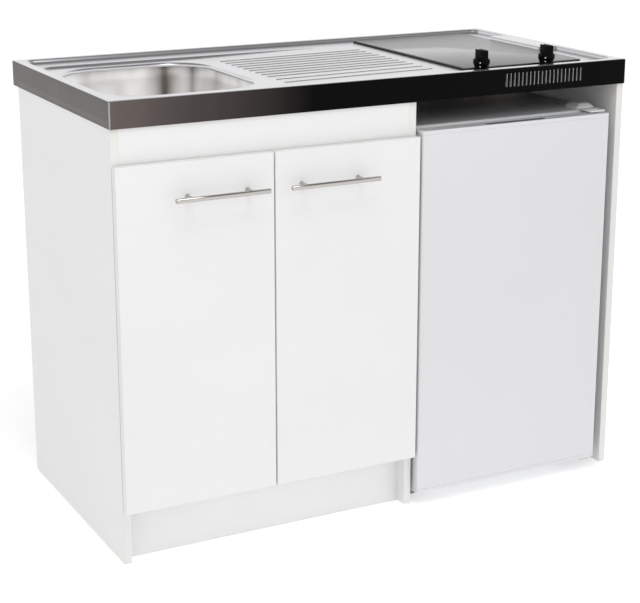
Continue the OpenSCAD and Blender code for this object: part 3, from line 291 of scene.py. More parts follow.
# %% Finishes of the hob and the knobs
look = Finish("hob_glass")
printed, ring_gap, outer_half_line, inner_half_line = 0.0, 8, 0.7, 0.35
for zone_y, zone_radius in hob_zones:
    away = ((look.x - hob_x) ** 2.0 + (look.y - zone_y) ** 2.0) ** 0.5
    printed = printed + (abs(away - zone_radius) < outer_half_line)
    printed = printed + (abs(away - zone_radius + ring_gap) < inner_half_line)
speck = look.cells(2.2) < 0.16
tone = look.blend(0.25 * speck, (30, 31, 34), (64, 66, 70))
hob_glass = look.surface(colour=look.blend(printed.clamp(), tone, (96, 97, 100)), ior=1.62,
                         rough=0.15 + 0.12 * printed.clamp())


def moulded(name, dark, light, rough, cells=900, depth=0.02, cloud=6, **more):
    """Moulded or lacquered: a faint cloud of tone, and a fine texture that breaks the gloss."""
    look = Finish(name)
    pebble = look.grain(cells, detail=2.0)
    return look.surface(colour=look.blend(look.grain(cloud), dark, light), rough=rough + 0.1 * pebble,
                        normal=look.relief(pebble, depth), **more)


seal_rubber = moulded("seal_rubber", (18, 18, 19), (30, 30, 31), 0.6)
knob_plastic = moulded("knob_plastic", (3, 3, 4), (6, 6, 7), 0.26, ior=1.14)
dark_plastic = moulded("dark_plastic", (30, 30, 33), (42, 42, 45), 0.42)
dot_white = moulded("printed_white", (232, 232, 230), (246, 246, 244), 0.5)
heater_fibre = moulded("insulating_fibre", (206, 200, 184), (232, 228, 214), 0.8, 500, 0.4)

look = Finish("heating_strip")
scale = look.grain(90, detail=4.0)
heating_strip = look.surface(colour=look.blend(scale, (82, 60, 46), (140, 108, 84)), metal=0.7,
                             rough=0.4 + 0.3 * scale, normal=look.relief(scale, 0.05))
print("hob finishes:", hob_glass.name, knob_plastic.name, heating_strip.name)

# %% [markdown]
# The boards are chipboard with a white melamine face. Its surface is a very shallow pearl texture that
# only shows as a soft gloss. The edges are banded with a slightly warmer plastic strip.

# %% Finishes of the boards, the fittings and the wood
def melamine(name, dark, light):
    look = Finish(name)
    pearl = look.grain(420, detail=2.0)
    cloud = look.grain((2, 2, 5))
    return look.surface(colour=look.blend(cloud, dark, light), rough=0.34 + 0.14 * pearl,
                        normal=look.relief(pearl, 0.05))


board_white = melamine("white_melamine", (221, 221, 221), (227, 227, 227))
edge_band = melamine("edge_band", (217, 215, 212), (224, 222, 219))
handle_steel = steel("brushed_handle_steel", (168, 164, 160), (206, 203, 200), (6, 900, 900), 0.1, 0.1)
zinc = steel("bright_zinc", (172, 175, 180), (206, 208, 211), 60, 0.22, 0.2)
# Painted shade: the feet's grey stands for the shade under the refrigerator.
feet_painted_shade = moulded("grey_foot_nylon", (132, 134, 138), (150, 152, 156), 0.4)
white_nylon = moulded("white_nylon", (226, 226, 222), (238, 238, 235), 0.4)
pipe_plastic = moulded("white_waste_pipe", (224, 224, 219), (238, 238, 234), 0.36, 300, 0.04)

look = Finish("pine_batten")
year_rings = look.grain((6, 90, 90), detail=5.0, roughness=0.6)
pore = look.grain((60, 700, 700))
pine = look.surface(colour=look.blend(year_rings, (150, 126, 96), (196, 176, 148)), rough=0.55 + 0.2 * pore,
                    normal=look.relief(pore, 0.08))
print("cabinet finishes:", board_white.name, edge_band.name, handle_steel.name, pine.name)

# %% [markdown]
# The refrigerator is painted steel. Sprayed paint has a faint orange-peel relief under its gloss. The
# inside is vacuum-formed plastic, the racks are clear plastic, and the back is black enamel. The
# case's top has a painted shadow: it runs from bright at its front right to dark at its back left,
# below the worktop.

# %% Finishes of the refrigerator
fridge_enamel = moulded("white_enamel", (208, 208, 210), (214, 214, 216), 0.25, 260, 0.03, 2, coat=0.3)
# Painted shade: a grey copy of the white trim for the caps' flat faces, and a dark grey inside the finger
# slot.
door_cap_plastic = moulded("door_cap_plastic", (184, 185, 188), (192, 193, 196), 0.34)
slot_painted_shade = moulded("finger_slot_plastic", (88, 89, 92), (98, 99, 102), 0.5)
trim_white = moulded("white_trim_plastic", (226, 227, 230), (236, 237, 239), 0.34)
liner_plastic = moulded("liner_plastic", (222, 226, 229), (234, 237, 239), 0.3, 180, 0.04)
gasket_grey = moulded("door_seal", (188, 190, 193), (204, 206, 208), 0.5)
black_enamel = moulded("black_enamel", (16, 16, 17), (28, 28, 30), 0.3, 300, 0.04)
rack_plastic = moulded("clear_rack_plastic", (214, 226, 230), (226, 236, 240), 0.12, alpha=0.42, coat=0.4)
shelf_glass = moulded("shelf_glass", (176, 208, 198), (190, 220, 210), 0.03, alpha=0.36, coat=0.5)

# Painted shadow: the top's colour darkens towards the back and the left, where the worktop shades it.
look = Finish("case_top_paint")
shadow_y, right_x, fade_y, fade_x = 60, 552, 170, 1600
shadow = ((look.y - shadow_y) / fade_y + (right_x - look.x) / fade_x).clamp()
case_top = look.surface(colour=look.blend(shadow, (238, 240, 245), (62, 63, 68)),
                        rough=0.3 + 0.1 * look.grain(260))

look = Finish("insulating_foam")
pore = look.cells(2.5)
foam = look.surface(colour=look.blend(look.grain(20), (214, 190, 128), (232, 214, 160)),
                    rough=0.75 + 0.1 * pore, normal=look.relief(pore, 0.5))

look = Finish("stucco_aluminium")
dimple = look.cells(5)
freezer_aluminium = look.surface(colour=look.blend(dimple, (204, 208, 212), (228, 231, 234)), metal=0.9,
                                 rough=0.3 + 0.1 * dimple, normal=look.relief(dimple, 0.25))

look = Finish("galvanised_sheet")
tone = look.node("ShaderNodeRGBToBW", values=[look.cells(14, out=1)])
galvanised = look.surface(colour=look.blend(tone, (146, 150, 154), (188, 192, 196)), metal=0.9,
                          rough=0.3 + 0.2 * tone, normal=look.relief(look.grain(90), 0.02))
print("finishes made:", len(bpy.data.materials))

# %% [markdown]
# The stage: a wide pale floor and a studio sky. The sky is bright low down, where white walls stand, and
# dim overhead, as in a hall with a dark ceiling. Steel needs that difference: its flat parts mirror
# the bright walls, and every bend and rib that faces the camera mirrors the dim ceiling as a dark line.
# The floor is a light table that glows a little, so it stays white without a strong lamp. One wide
# lamp leans to the front and lifts the doors a little above the side. It is left out of reflections,
# or the steel would mirror it where the dark ceiling belongs. A softbox hangs in front of the sink and
# shines into the bowl.

# %% Floor, sky and light
floor_half = 40
floor_mesh = bpy.data.meshes.new("studio_floor")
floor_corners = [(x * floor_half, y * floor_half, 0) for x, y in ((-1, -1), (1, -1), (1, 1), (-1, 1))]
floor_mesh.from_pydata(floor_corners, [], [(0, 1, 2, 3)])
floor_mesh.materials.append(moulded("studio_floor", (247, 247, 247), (250, 250, 250), 0.7, depth=0.0,
                                    glow=(1.0, 1.0, 1.0, 1.0), glow_power=0.38))
stand("studio_floor", floor_mesh)

world = bpy.data.worlds.new("studio_sky")
world.use_nodes = True
world.node_tree.nodes.clear()
bpy.context.scene.world = world
sky = Nodes(world.node_tree)
direction = sky.node("ShaderNodeTexCoord")
upward = Value(sky, sky.node("ShaderNodeSeparateXYZ", values=[direction]).socket.node.outputs[2])
walls, ceiling = 1.13, 0.24
brightness = walls - (walls - ceiling) * ((upward - 0.4) / 0.3).clamp()
background = sky.node("ShaderNodeBackground", values=[(1.0, 1.0, 1.0, 1.0), brightness])
sky.node("ShaderNodeOutputWorld", values=[background])


def soft_lamp(name, kind, place, aim, energy, size):
    """A lamp; a sun's size is the angle it fills, in degrees, and an area's is its width in metres."""
    light = bpy.data.lights.new(name, kind)
    light.energy = energy
    if kind == "SUN":
        light.angle = radians(size)
    else:
        light.size = size
    lamp = stand(name, light)
    lamp.location, lamp.rotation_mode = place, "QUATERNION"
    lamp.rotation_quaternion = (Vector(aim) - Vector(place)).to_track_quat("-Z", "Y")
    return lamp


hall_lamp = soft_lamp("hall_lamp", "SUN", (0.25, -0.34, 1), (0, 0, 0), 0.74, 70)
hall_lamp.visible_glossy = False
soft_lamp("softbox_over_sink", "AREA", (-0.55, -0.9, 2.3), (-0.38, 0, 0.9), 9, 0.8)
bpy.context.scene.view_settings.view_transform = "Standard"
print("stage ready")

# %% [markdown]
# Most pieces here are made from a few workshop operations: a block with its edges eased, a turned
# shape, a skin drawn through rings, and a flat shape given a thickness. `Piece` gathers such parts in
# one mesh, and `done` moves it into place, marks the crisp edges, hangs it on the body it rides on,
# and hides the imported solid that it stands for.

# %% The workbench
AXES = {"X": Matrix.Rotation(pi / 2, 4, "Y"), "-X": Matrix.Rotation(-pi / 2, 4, "Y"),
        "Y": Matrix.Rotation(-pi / 2, 4, "X"), "-Y": Matrix.Rotation(pi / 2, 4, "X"),
        "Z": Matrix.Identity(4), "-Z": Matrix.Rotation(pi, 4, "X")}
to_frame = Matrix.Translation(Vector((0, front_edge, 0)) * MM) @ Matrix.Scale(MM, 4)
tiny = 1e-6


def at(*place, way="Z"):
    """The matrix that turns a part's Z to one of the axes and moves it to a place."""
    return Matrix.Translation(place) @ AXES[way]


def without_repeats(corners):
    return [corner for i, corner in enumerate(corners) if corner not in corners[:i]]


class Piece:
    def __init__(self, name, *finishes):
        self.name, self.mesh, self.finishes = name, bmesh.new(), finishes

    def take(self, part, finish=0, place=None, outward=True):
        if place is not None:
            bmesh.ops.transform(part, matrix=place, verts=part.verts)
        if outward:
            bmesh.ops.recalc_face_normals(part, faces=part.faces)
        for face in part.faces:
            face.smooth = True
            if finish is not None:
                face.material_index = finish
        hold = bpy.data.meshes.new("hold")
        part.to_mesh(hold)
        part.free()
        self.mesh.from_mesh(hold)
        bpy.data.meshes.remove(hold)

    def block(self, low, high, finish=0, ease=0.6, steps=2):
        """A block whose edges are eased, as a tool, a mould or a bending press leaves them."""
        part = bmesh.new()
        bmesh.ops.create_cube(part, size=1)
        for v in part.verts:
            v.co = Vector(((a + b) / 2 + c * (b - a) for a, b, c in zip(low, high, v.co)))
        ease = min(ease, 0.45 * min(b - a for a, b in zip(low, high)))
        bmesh.ops.bevel(part, geom=part.edges[:], offset=ease, segments=steps, profile=0.5, affect="EDGES")
        self.take(part, finish)

    def turned(self, profile, base, axis="Z", finish=0, sides=40):
        """A turned shape from (radius, height) pairs: from axis to axis, or a closed ring section."""
        part, rings = bmesh.new(), []
        for radius, height in profile:
            count = sides if radius > tiny else 1
            turns = (2 * pi * i / count for i in range(count))
            places = [(radius * cos(turn), radius * sin(turn), height) for turn in turns]
            rings.append([part.verts.new(place) for place in places])
        if profile[0][0] > tiny:
            rings.append(rings[0])
        self.skin(part, rings)
        self.take(part, finish, at(*base, way=axis))

    @staticmethod
    def skin(part, rings):
        for a, b in zip(rings, rings[1:]):
            count = max(len(a), len(b))
            for i in range(count):
                j = (i + 1) % count
                corners = without_repeats([a[i % len(a)], a[j % len(a)], b[j % len(b)], b[i % len(b)]])
                if len(corners) > 2:
                    part.faces.new(corners)

    def skinned(self, rings, finish=0, ends="closed", place=None, outward=True):
        """A skin through rings of places; its two ends are closed, open, or joined to each other."""
        part = bmesh.new()
        made = [[part.verts.new(place) for place in ring] for ring in rings]
        self.skin(part, [*made, made[0]] if ends == "joined" else made)
        if ends == "closed":
            part.faces.new(made[0])
            part.faces.new(made[-1])
        self.take(part, finish, place, outward)

    def slab(self, outline, low, high, ease=0.5, steps=2, place=None):
        """A flat outline in X-Y, given a thickness along Z, with its two rims eased."""
        part = bmesh.new()
        base = part.faces.new([part.verts.new((x, y, low)) for x, y, *_ in outline])
        made = bmesh.ops.extrude_face_region(part, geom=[base])["geom"]
        top = [item for item in made if isinstance(item, bmesh.types.BMVert)]
        bmesh.ops.translate(part, vec=(0, 0, high - low), verts=top)
        part.normal_update()
        rims = [e for e in part.edges if abs(e.verts[0].co.z - e.verts[1].co.z) < tiny]
        bmesh.ops.bevel(part, geom=rims, offset=ease, segments=steps, profile=0.5, affect="EDGES")
        self.take(part, 0, place)

    def tub(self, low, high, wall, radius, draft=0.0, place=None):
        """An open tub with round corners: up the outside, over the rim and down the inside."""
        (x0, y0, z0), (x1, y1, z1) = low, high
        turn = min(radius, 0.4 * (z1 - z0))
        part_turn, part_wall = 0.3 * turn, 0.3 * wall
        steps = ((draft + turn, z0, radius + turn), (draft + part_turn, z0 + part_turn, radius + part_turn),
                 (draft, z0 + turn, radius), (0, z1 - wall, radius), (0, z1 - part_wall, radius),
                 (wall / 2, z1, radius), (wall, z1 - part_wall, radius), (draft + wall, z0 + turn, radius),
                 (draft + wall + part_turn, z0 + wall + part_turn, radius),
                 (draft + wall + turn, z0 + wall, radius + turn))
        self.skinned([round_ring((x0, y0, x1, y1), inset, max(r - inset, 0.4), z) for inset, z, r in steps],
                     place=place)

    def add(self, mesh, finish=0, place=None):
        """A mesh that a Geometry Nodes recipe made, in millimetres."""
        part = bmesh.new()
        part.from_mesh(mesh)
        self.take(part, finish, place)

    def lay(self, part, places, facing=None, finish=0):
        """One loose part at many places; facing is one way for all, or a way for each."""
        ways = [facing] * len(places) if isinstance(facing, tuple) else facing
        laid = at_places.make(place_mesh(places, ways), part=part, finish=self.finishes[finish])
        self.add(laid, finish)

    def ring_of(self, part, count, radius, place):
        """One loose part, repeated round a ring."""
        ring = in_ring.make(part=part, count=count, radius=float(radius), finish=self.finishes[0])
        self.add(ring, 0, place)

    def repaint(self, finish, chosen):
        """Another finish for every face whose centre and normal pass a test."""
        self.mesh.normal_update()
        for face in self.mesh.faces:
            if chosen(face.calc_center_median(), face.normal):
                face.material_index = finish

    def mirrored(self, x):
        """The whole piece as seen in a mirror that stands at x."""
        mirror = Matrix.Translation((2 * x, 0, 0)) @ Matrix.Diagonal((-1, 1, 1, 1))
        bmesh.ops.transform(self.mesh, matrix=mirror, verts=self.mesh.verts)
        bmesh.ops.reverse_faces(self.mesh, faces=self.mesh.faces)

    def done(self, slot, node, body="unit", crisp=34):
        mesh = bpy.data.meshes.new(self.name)
        bmesh.ops.transform(self.mesh, matrix=to_frame, verts=self.mesh.verts)
        self.mesh.to_mesh(mesh)
        self.mesh.free()
        for finish in self.finishes:
            mesh.materials.append(finish)
        mesh.set_sharp_from_angle(angle=radians(crisp))
        piece = stand(self.name, mesh)
        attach(piece, body)
        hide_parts(node)
        print(f"{self.name}: {len(mesh.polygons)} faces on {body}")
        return piece


print("workshop operations: block, turned, skinned, slab, tub")

# %% [markdown]
# Moulded and pressed shapes have round corners, so most skins run through round-cornered rings. Two
# more helpers serve a solid that keeps its shape, and a skin that becomes sheet metal.

# %% Rings and helpers
def round_ring(box, inset, radius, z, back_radius=None, corner=6):
    """Places round a box (x0, y0, x1, y1) drawn in by the inset, with round corners, at height z."""
    x0, y0, x1, y1 = box[0] + inset, box[1] + inset, box[2] - inset, box[3] - inset
    most = min(x1 - x0, y1 - y0) / 2 - 0.01
    front, back = (max(min(r, most), 0.01) for r in (radius, radius if back_radius is None else back_radius))
    ring = []
    for quarter, (x, y, r) in enumerate([(x1, y1, back), (x0, y1, back), (x0, y0, front), (x1, y0, front)]):
        middle_x, middle_y = x + (r if x == x0 else -r), y + (r if y == y0 else -r)
        for step in range(corner + 1):
            turn = pi / 2 * (quarter + step / corner)
            ring.append((middle_x + r * cos(turn), middle_y + r * sin(turn), z))
    return ring


def front_ring(box, inset, radius, y, corner=6):
    """The same round a box (x0, z0, x1, z1) that stands upright at the depth y."""
    return [(x, y, z) for x, z, _ in round_ring(box, inset, radius, 0, corner=corner)]


def finish_node(node, material):
    """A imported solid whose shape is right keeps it, and only gets its finish."""
    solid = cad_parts[node]
    solid.data.materials.clear()
    solid.data.materials.append(material)


def sheet_metal(piece, back_finish):
    """A skin becomes a sheet 1 mm thick, with another finish on its back."""
    wall = piece.modifiers.new("sheet thickness", "SOLIDIFY")
    wall.thickness, wall.offset, wall.material_offset = 1.0 * MM, -1.0, back_finish


print("places in a ring with round corners:", len(round_ring((0, 0, 10, 10), 0, 2, 0)))

# %% [markdown]
# What repeats or follows a path is made by Geometry Nodes. A `Recipe` is such a tree with named
# inputs. `make` runs it once on a carrier object: the inputs are set by their socket identifiers, the
# evaluated result is kept as a plain mesh, and the carrier goes. Every tree ends in Realize Instances
# and Set Material, because instances would be lost in the exported model.

# %% The recipe maker
class Recipe(Nodes):
    KINDS = {"size": "NodeSocketFloat", "count": "NodeSocketInt", "part": "NodeSocketObject",
             "finish": "NodeSocketMaterial"}

    def __init__(self, name, **inputs):
        super().__init__(bpy.data.node_groups.new(name, "GeometryNodeTree"))
        self.inputs = {}
        face = self.tree.interface
        face.new_socket("Shape", in_out="INPUT", socket_type="NodeSocketGeometry")
        for label, kind in {**inputs, "finish": "finish"}.items():
            socket = face.new_socket(label, in_out="INPUT", socket_type=self.KINDS[kind])
            self.inputs[label] = socket.identifier
        face.new_socket("Shape", in_out="OUTPUT", socket_type="NodeSocketGeometry")
        given = self.tree.nodes.new("NodeGroupInput")
        self.shape = Value(self, given.outputs[0])
        for number, label in enumerate(self.inputs, start=1):
            setattr(self, label, Value(self, given.outputs[number]))

    def vector(self, x=0.0, y=0.0, z=0.0):
        return self.node("ShaderNodeCombineXYZ", values=[x, y, z])

    def copies(self, points, part, **more):
        return self.node("GeometryNodeInstanceOnPoints", values={"Points": points, "Instance": part, **more})

    def given_part(self):
        return self.node("GeometryNodeObjectInfo", values=[self.part], out=4)

    def realized(self, shape):
        return self.node("GeometryNodeRealizeInstances", values=[shape])

    def filled(self, curves):
        joined = self.node("GeometryNodeJoinGeometry", values=[curves])
        return self.node("GeometryNodeFillCurve", {"mode": "TRIANGLES"}, {0: joined})

    def thickened(self, flat, thickness):
        """A filled flat shape and a second one above it, joined by its edges: a closed plate."""
        raised = self.node("GeometryNodeExtrudeMesh", {"mode": "FACES"}, {
            "Mesh": flat, "Offset": (0.0, 0.0, 1.0), "Offset Scale": thickness, "Individual": False})
        below = self.node("GeometryNodeFlipFaces", values=[flat])
        both = self.node("GeometryNodeJoinGeometry", values=[[raised, below]])
        return self.node("GeometryNodeMergeByDistance", values={0: both, 2: 0.001})

    def along(self, curve, section):
        return self.node("GeometryNodeCurveToMesh", values={"Curve": curve, "Profile Curve": section,
                                                            "Fill Caps": True})

    def ends_with(self, shape, smooth=True):
        real = self.node("GeometryNodeSetShadeSmooth", values={0: self.realized(shape), 2: smooth})
        painted = self.node("GeometryNodeSetMaterial", values={0: real, 2: self.finish})
        self.node("NodeGroupOutput", values=[painted])

    def make(self, shape=None, **values):
        carrier = stand("carrier", shape or bpy.data.meshes.new("blank"))
        step = carrier.modifiers.new("recipe", "NODES")
        step.node_group = self.tree
        for label, value in values.items():
            step[self.inputs[label]] = value
        shaped = carrier.evaluated_get(bpy.context.evaluated_depsgraph_get())
        mesh = bpy.data.meshes.new_from_object(shaped)
        carrier.modifiers.remove(step)
        bpy.data.objects.remove(carrier)
        return mesh


print("kinds of recipe inputs:", ", ".join(Recipe.KINDS))

# %% [markdown]
# A recipe works on a path or on loose places, and may repeat a loose part. These functions make them.

# %% Paths, places and loose parts
loose_parts = []


def line_mesh(places):
    """Joined places, as the path that a recipe follows."""
    mesh = bpy.data.meshes.new("path")
    mesh.from_pydata(places, [(i, i + 1) for i in range(len(places) - 1)], [])
    return mesh


def place_mesh(places, facing=None):
    """Loose places, each with the direction that its part faces."""
    mesh = bpy.data.meshes.new("places")
    mesh.from_pydata(places, [], [])
    if facing:
        data = mesh.attributes.new("facing", "FLOAT_VECTOR", "POINT")
        for item, way in zip(data.data, facing):
            item.vector = way
    return mesh


def loose(piece):
    """A piece on the bench becomes a loose part that a recipe can repeat."""
    mesh = bpy.data.meshes.new(piece.name)
    piece.mesh.to_mesh(mesh)
    piece.mesh.free()
    loose_parts.append(stand(piece.name, mesh))
    return loose_parts[-1]


def turned_part(name, finish, profile, sides):
    """A loose part that is one turned shape."""
    part = Piece(name, finish)
    part.turned(profile, (0, 0, 0), sides=sides)
    return loose(part)


def block_part(name, finish, low, high, **more):
    """A loose part that is one block."""
    part = Piece(name, finish)
    part.block(low, high, **more)
    return loose(part)


print("loose parts on the bench:", len(loose_parts))

# %% [markdown]
# Four recipes serve the whole unit. The first lays parts at given places and turns each one to face
# its own way: screws, wires, pads and marks. The second sets parts in a ring: the grip ribs of nuts,
# feet and the dial. The third bends a pipe along a line of corners, as a bending machine does. The
# fourth cuts a row of round-ended holes in a plate: the worktop's air slots and the doors' hinge bores.

# %% The recipes
at_places = Recipe("parts at places", part="part")
ways = at_places.node("GeometryNodeInputNamedAttribute", {"data_type": "FLOAT_VECTOR"}, ["facing"])
turned_to = at_places.node("FunctionNodeAlignRotationToVector", {"axis": "Z"}, {"Vector": ways})
points = at_places.node("GeometryNodeMeshToPoints", values=[at_places.shape])
at_places.ends_with(at_places.copies(points, at_places.given_part(), Rotation=turned_to))

in_ring = Recipe("parts in a ring", part="part", count="count", radius="size")
circle = in_ring.node("GeometryNodeMeshCircle", values=[in_ring.count, in_ring.radius])
step = in_ring.node("GeometryNodeInputIndex") * (2 * pi) / in_ring.count
in_ring.ends_with(in_ring.copies(circle, in_ring.given_part(), Rotation=in_ring.vector(z=step)))

bent_pipe = Recipe("pipe bent along a line", bend="size", radius="size", sides="count")
corner_steps = 10
route = bent_pipe.node("GeometryNodeMeshToCurve", values=[bent_pipe.shape])
route = bent_pipe.node("GeometryNodeFilletCurve", {"mode": "POLY"},
                       {0: route, 1: corner_steps, 2: bent_pipe.bend, 3: True})
around = bent_pipe.node("GeometryNodeCurvePrimitiveCircle", values={0: bent_pipe.sides, 4: bent_pipe.radius})
bent_pipe.ends_with(bent_pipe.along(route, around))

cut_plate = Recipe("plate with a row of holes", length="size", height="size", thickness="size",
                   count="count", pitch="size", hole_width="size", hole_height="size", first="size",
                   rise="size")
hole_steps, almost_half = 9, 0.499
rectangle = "GeometryNodeCurvePrimitiveQuadrilateral"
outline = cut_plate.node(rectangle, values=[cut_plate.length, cut_plate.height])
hole = cut_plate.node(rectangle, values=[cut_plate.hole_width, cut_plate.hole_height])
hole = cut_plate.node("GeometryNodeFilletCurve", {"mode": "POLY"},
                      {0: hole, 1: hole_steps, 2: cut_plate.hole_width * almost_half, 3: True})
row = cut_plate.node("GeometryNodeMeshLine", {"mode": "OFFSET"}, {
    "Count": cut_plate.count, "Start Location": cut_plate.vector(x=cut_plate.first, y=cut_plate.rise),
    "Offset": cut_plate.vector(x=cut_plate.pitch)})
holes = cut_plate.realized(cut_plate.copies(row, hole))
sheet = cut_plate.filled([outline, holes])
cut_plate.ends_with(cut_plate.thickened(sheet, cut_plate.thickness), smooth=False)
print("recipes:", ", ".join(group.name for group in bpy.data.node_groups))

# %% [markdown]
# ## The worktop
# The real top is one sheet of steel, pressed in a die: a rim all round, a lower field, a sink field that
# slopes towards the bowl, eleven drainer ribs and a raised pad. Every one of these is a change of
# height, so the sheet is drawn as a height above each place. Soft steps stand for the press radii.
# The grid has close lines only where the height changes, which keeps the mesh light.

# %% The height of the pressed sheet
rim_z, fold_z, fold_radius = 950, 896, 3
field_box, pad_box, sink_field_box = (-578, 22, 578, 578), (536, 233, 640, 453), (-572, 34, 186, 515)
field_depth, slope_depth, press_width = 8, 4, 6
slope_high_x, slope_low_x = 186, -208
rib_height, rib_half_width, rib_half_length = 1.5, 4, 174
rib_starts = [194 - 41 * i for i in (1, 2)] + [194 + 30.2 * i for i in range(9)]
rib_middles = sorted(start + rib_half_width for start in rib_starts)


def depth_inside(x, y, box, radius):
    """How deep a place lies inside a box with round corners; below 0 outside it."""
    x0, y0, x1, y1 = box
    dx = abs(x - (x0 + x1) / 2) - (x1 - x0) / 2 + radius
    dy = abs(y - (y0 + y1) / 2) - (y1 - y0) / 2 + radius
    return radius - hypot(max(dx, 0), max(dy, 0)) - min(max(dx, dy), 0)


def soft_step(depth):
    share = min(max(0.5 + depth / press_width, 0.0), 1.0)
    return share * share * (3 - 2 * share)


def sheet_height(x, y):
    pressed = min(depth_inside(x, y, field_box, 20), -depth_inside(x, y, pad_box, 10))
    z = rim_z - field_depth * soft_step(pressed)
    slope = min(max((slope_high_x - x) / (slope_high_x - slope_low_x), 0.0), 1.0)
    z -= slope_depth * slope * soft_step(depth_inside(x, y, sink_field_box, 40))
    for middle in rib_middles:
        away = hypot(y - middle, max(abs(x) - rib_half_length, 0.0))
        if away < rib_half_width:
            z += rib_height * (0.5 + 0.5 * cos(pi * away / rib_half_width))
    return z


def grid_lines(exact, *spans):
    """Exact lines, and others in (start, end, step) spans that aren't too close to them."""
    kept = sorted(exact)
    for start, end, step in spans:
        count = round((end - start) / step)
        for i in range(count + 1):
            value = start + i * (end - start) / count
            if min(abs(value - line) for line in kept) > 0.6:
                kept.append(value)
    return sorted(kept)


bowl_gap = (-560, 88, -208, 496)
hob_hole = (235, 70, 507, 546)
knob_places = ((250, 40), (416, 40))
holes = [bowl_gap, hob_hole] + [(x - 6, y - 6, x + 6, y + 6) for x, y in knob_places]
rib_lines = [middle + side for middle in rib_middles for side in (-4, -2.6, -1.3, 0, 1.3, 2.6, 4)]
xs = grid_lines([-597, 597] + [x for box in holes for x in box[::2]],
                (-582, -530, 1.7), (-590, 597, 15), (-560, -208, 6), (-183, -169, 1.4), (169, 190, 1.5),
                (529, 583, 1.7))
ys = grid_lines([3, 597] + [y for box in holes[:3] for y in box[1::2]] + rib_lines,
                (18, 76, 1.7), (472, 520, 1.7), (554, 583, 1.7), (225, 245, 2), (443, 461, 2), (10, 590, 12))
print(f"sheet grid: {len(xs)} by {len(ys)} lines")

# %% [markdown]
# The bowl's opening is a rectangle with very round corners. The grid leaves a gap for it, and rings
# carry the gap's edge inwards to the opening: each edge point slides along a ray to the bowl's middle.
# The same rays make the rolled lip here and the bowl below, so the two meet without a seam.

# %% Rays to the middle of the bowl
bowl_box, bowl_radius = (-550, 99.5, -220, 484.5), 95


def ray_place(place, share):
    return bowl_x + (place[0] - bowl_x) * share, bowl_y + (place[1] - bowl_y) * share


def on_outline(place, grow):
    """Where the ray from the bowl's middle through a place meets the opening, grown by some mm."""
    grown = (bowl_box[0] - grow, bowl_box[1] - grow, bowl_box[2] + grow, bowl_box[3] + grow)
    near, far = 0.0, 4.0
    for _ in range(30):
        middle = (near + far) / 2
        if depth_inside(*ray_place(place, middle), grown, max(bowl_radius + grow, 12)) > 0:
            near = middle
        else:
            far = middle
    return ray_place(place, near)


gap_x0, gap_y0, gap_x1, gap_y1 = bowl_gap
gap_edge = ([(x, gap_y0) for x in xs if gap_x0 <= x < gap_x1]
            + [(gap_x1, y) for y in ys if gap_y0 <= y < gap_y1]
            + [(x, gap_y1) for x in reversed(xs) if gap_x0 < x <= gap_x1]
            + [(gap_x0, y) for y in reversed(ys) if gap_y0 < y <= gap_y1])


def bowl_ring(grow, z):
    return [(*on_outline(place, grow), z) for place in gap_edge]


print("rays round the bowl:", len(gap_edge))

# %% [markdown]
# Now the sheet: grid, rings and rolled lip, then the folded edge. The fold turns down over a radius of
# 3 mm. The front is left open below its bend, because the plate with the air slots closes it.

# %% Press and fold the sheet
top = Piece("worktop_sheet_metal", top_steel, front_fold, side_fold, under_steel)
part = bmesh.new()
grid = {(x, y): part.verts.new((x, y, sheet_height(x, y))) for x in xs for y in ys}
for x, next_x in zip(xs, xs[1:]):
    for y, next_y in zip(ys, ys[1:]):
        middle_x, middle_y = (x + next_x) / 2, (y + next_y) / 2
        if not any(x0 < middle_x < x1 and y0 < middle_y < y1 for x0, y0, x1, y1 in holes):
            part.faces.new([grid[x, y], grid[next_x, y], grid[next_x, next_y], grid[x, next_y]])

quarter = [radians(angle) for angle in (22.5, 45, 67.5, 90)]
lip_radius, lip_z, lip_end = 6, 938, 930
lip = [bowl_ring(lip_radius * (1 - sin(bend)), lip_z - lip_radius * (1 - cos(bend)))
       for bend in [0, *quarter]]
lip.append(bowl_ring(0, lip_end))
made_lip = [[part.verts.new(place) for place in ring] for ring in lip]
Piece.skin(part, [[grid[place] for place in gap_edge], *made_lip])

# Stations go round the sheet: a place on its edge, and the heading in which the fold leaves it.
front, right, back, left = -90, 0, 90, 180
stations = []
for edge, heading in (([(x, 3) for x in xs], front), ([(597, y) for y in ys], right),
                      ([(x, 597) for x in reversed(xs)], back), ([(-597, y) for y in reversed(ys)], left)):
    stations += [(place, radians(heading)) for place in edge]
    stations += [(edge[-1], radians(heading + angle)) for angle in (22.5, 45, 67.5)]


def fold_row(bend, z):
    out = fold_radius * sin(bend)
    places = [(x + out * cos(heading), y + out * sin(heading), z) for (x, y), heading in stations]
    return [part.verts.new(place) for place in places]


def faces_front(station):
    return abs(station[1] - radians(front)) < 1e-3


rows = [fold_row(pi / 2, z) for z in (fold_z, 912, 930)]
rows += [fold_row(bend, rim_z - fold_radius * (1 - cos(bend))) for bend in reversed(quarter)]
rows.append([grid[place] for place, _ in stations])
upright_rows, first_top_row = 3, 5
for level, (low, high) in enumerate(zip(rows, rows[1:])):
    for i, station in enumerate(stations):
        j = (i + 1) % len(stations)
        at_front = faces_front(station) and faces_front(stations[j])
        if level >= upright_rows or not at_front:
            face = part.faces.new(without_repeats([low[i], low[j], high[j], high[i]]))
            face.material_index = 0 if level >= first_top_row else 1 if at_front else 2
top.take(part, finish=None, outward=False)
sheet_metal(top.done("worktop_steel", "worktop_sheet", crisp=60), 3)
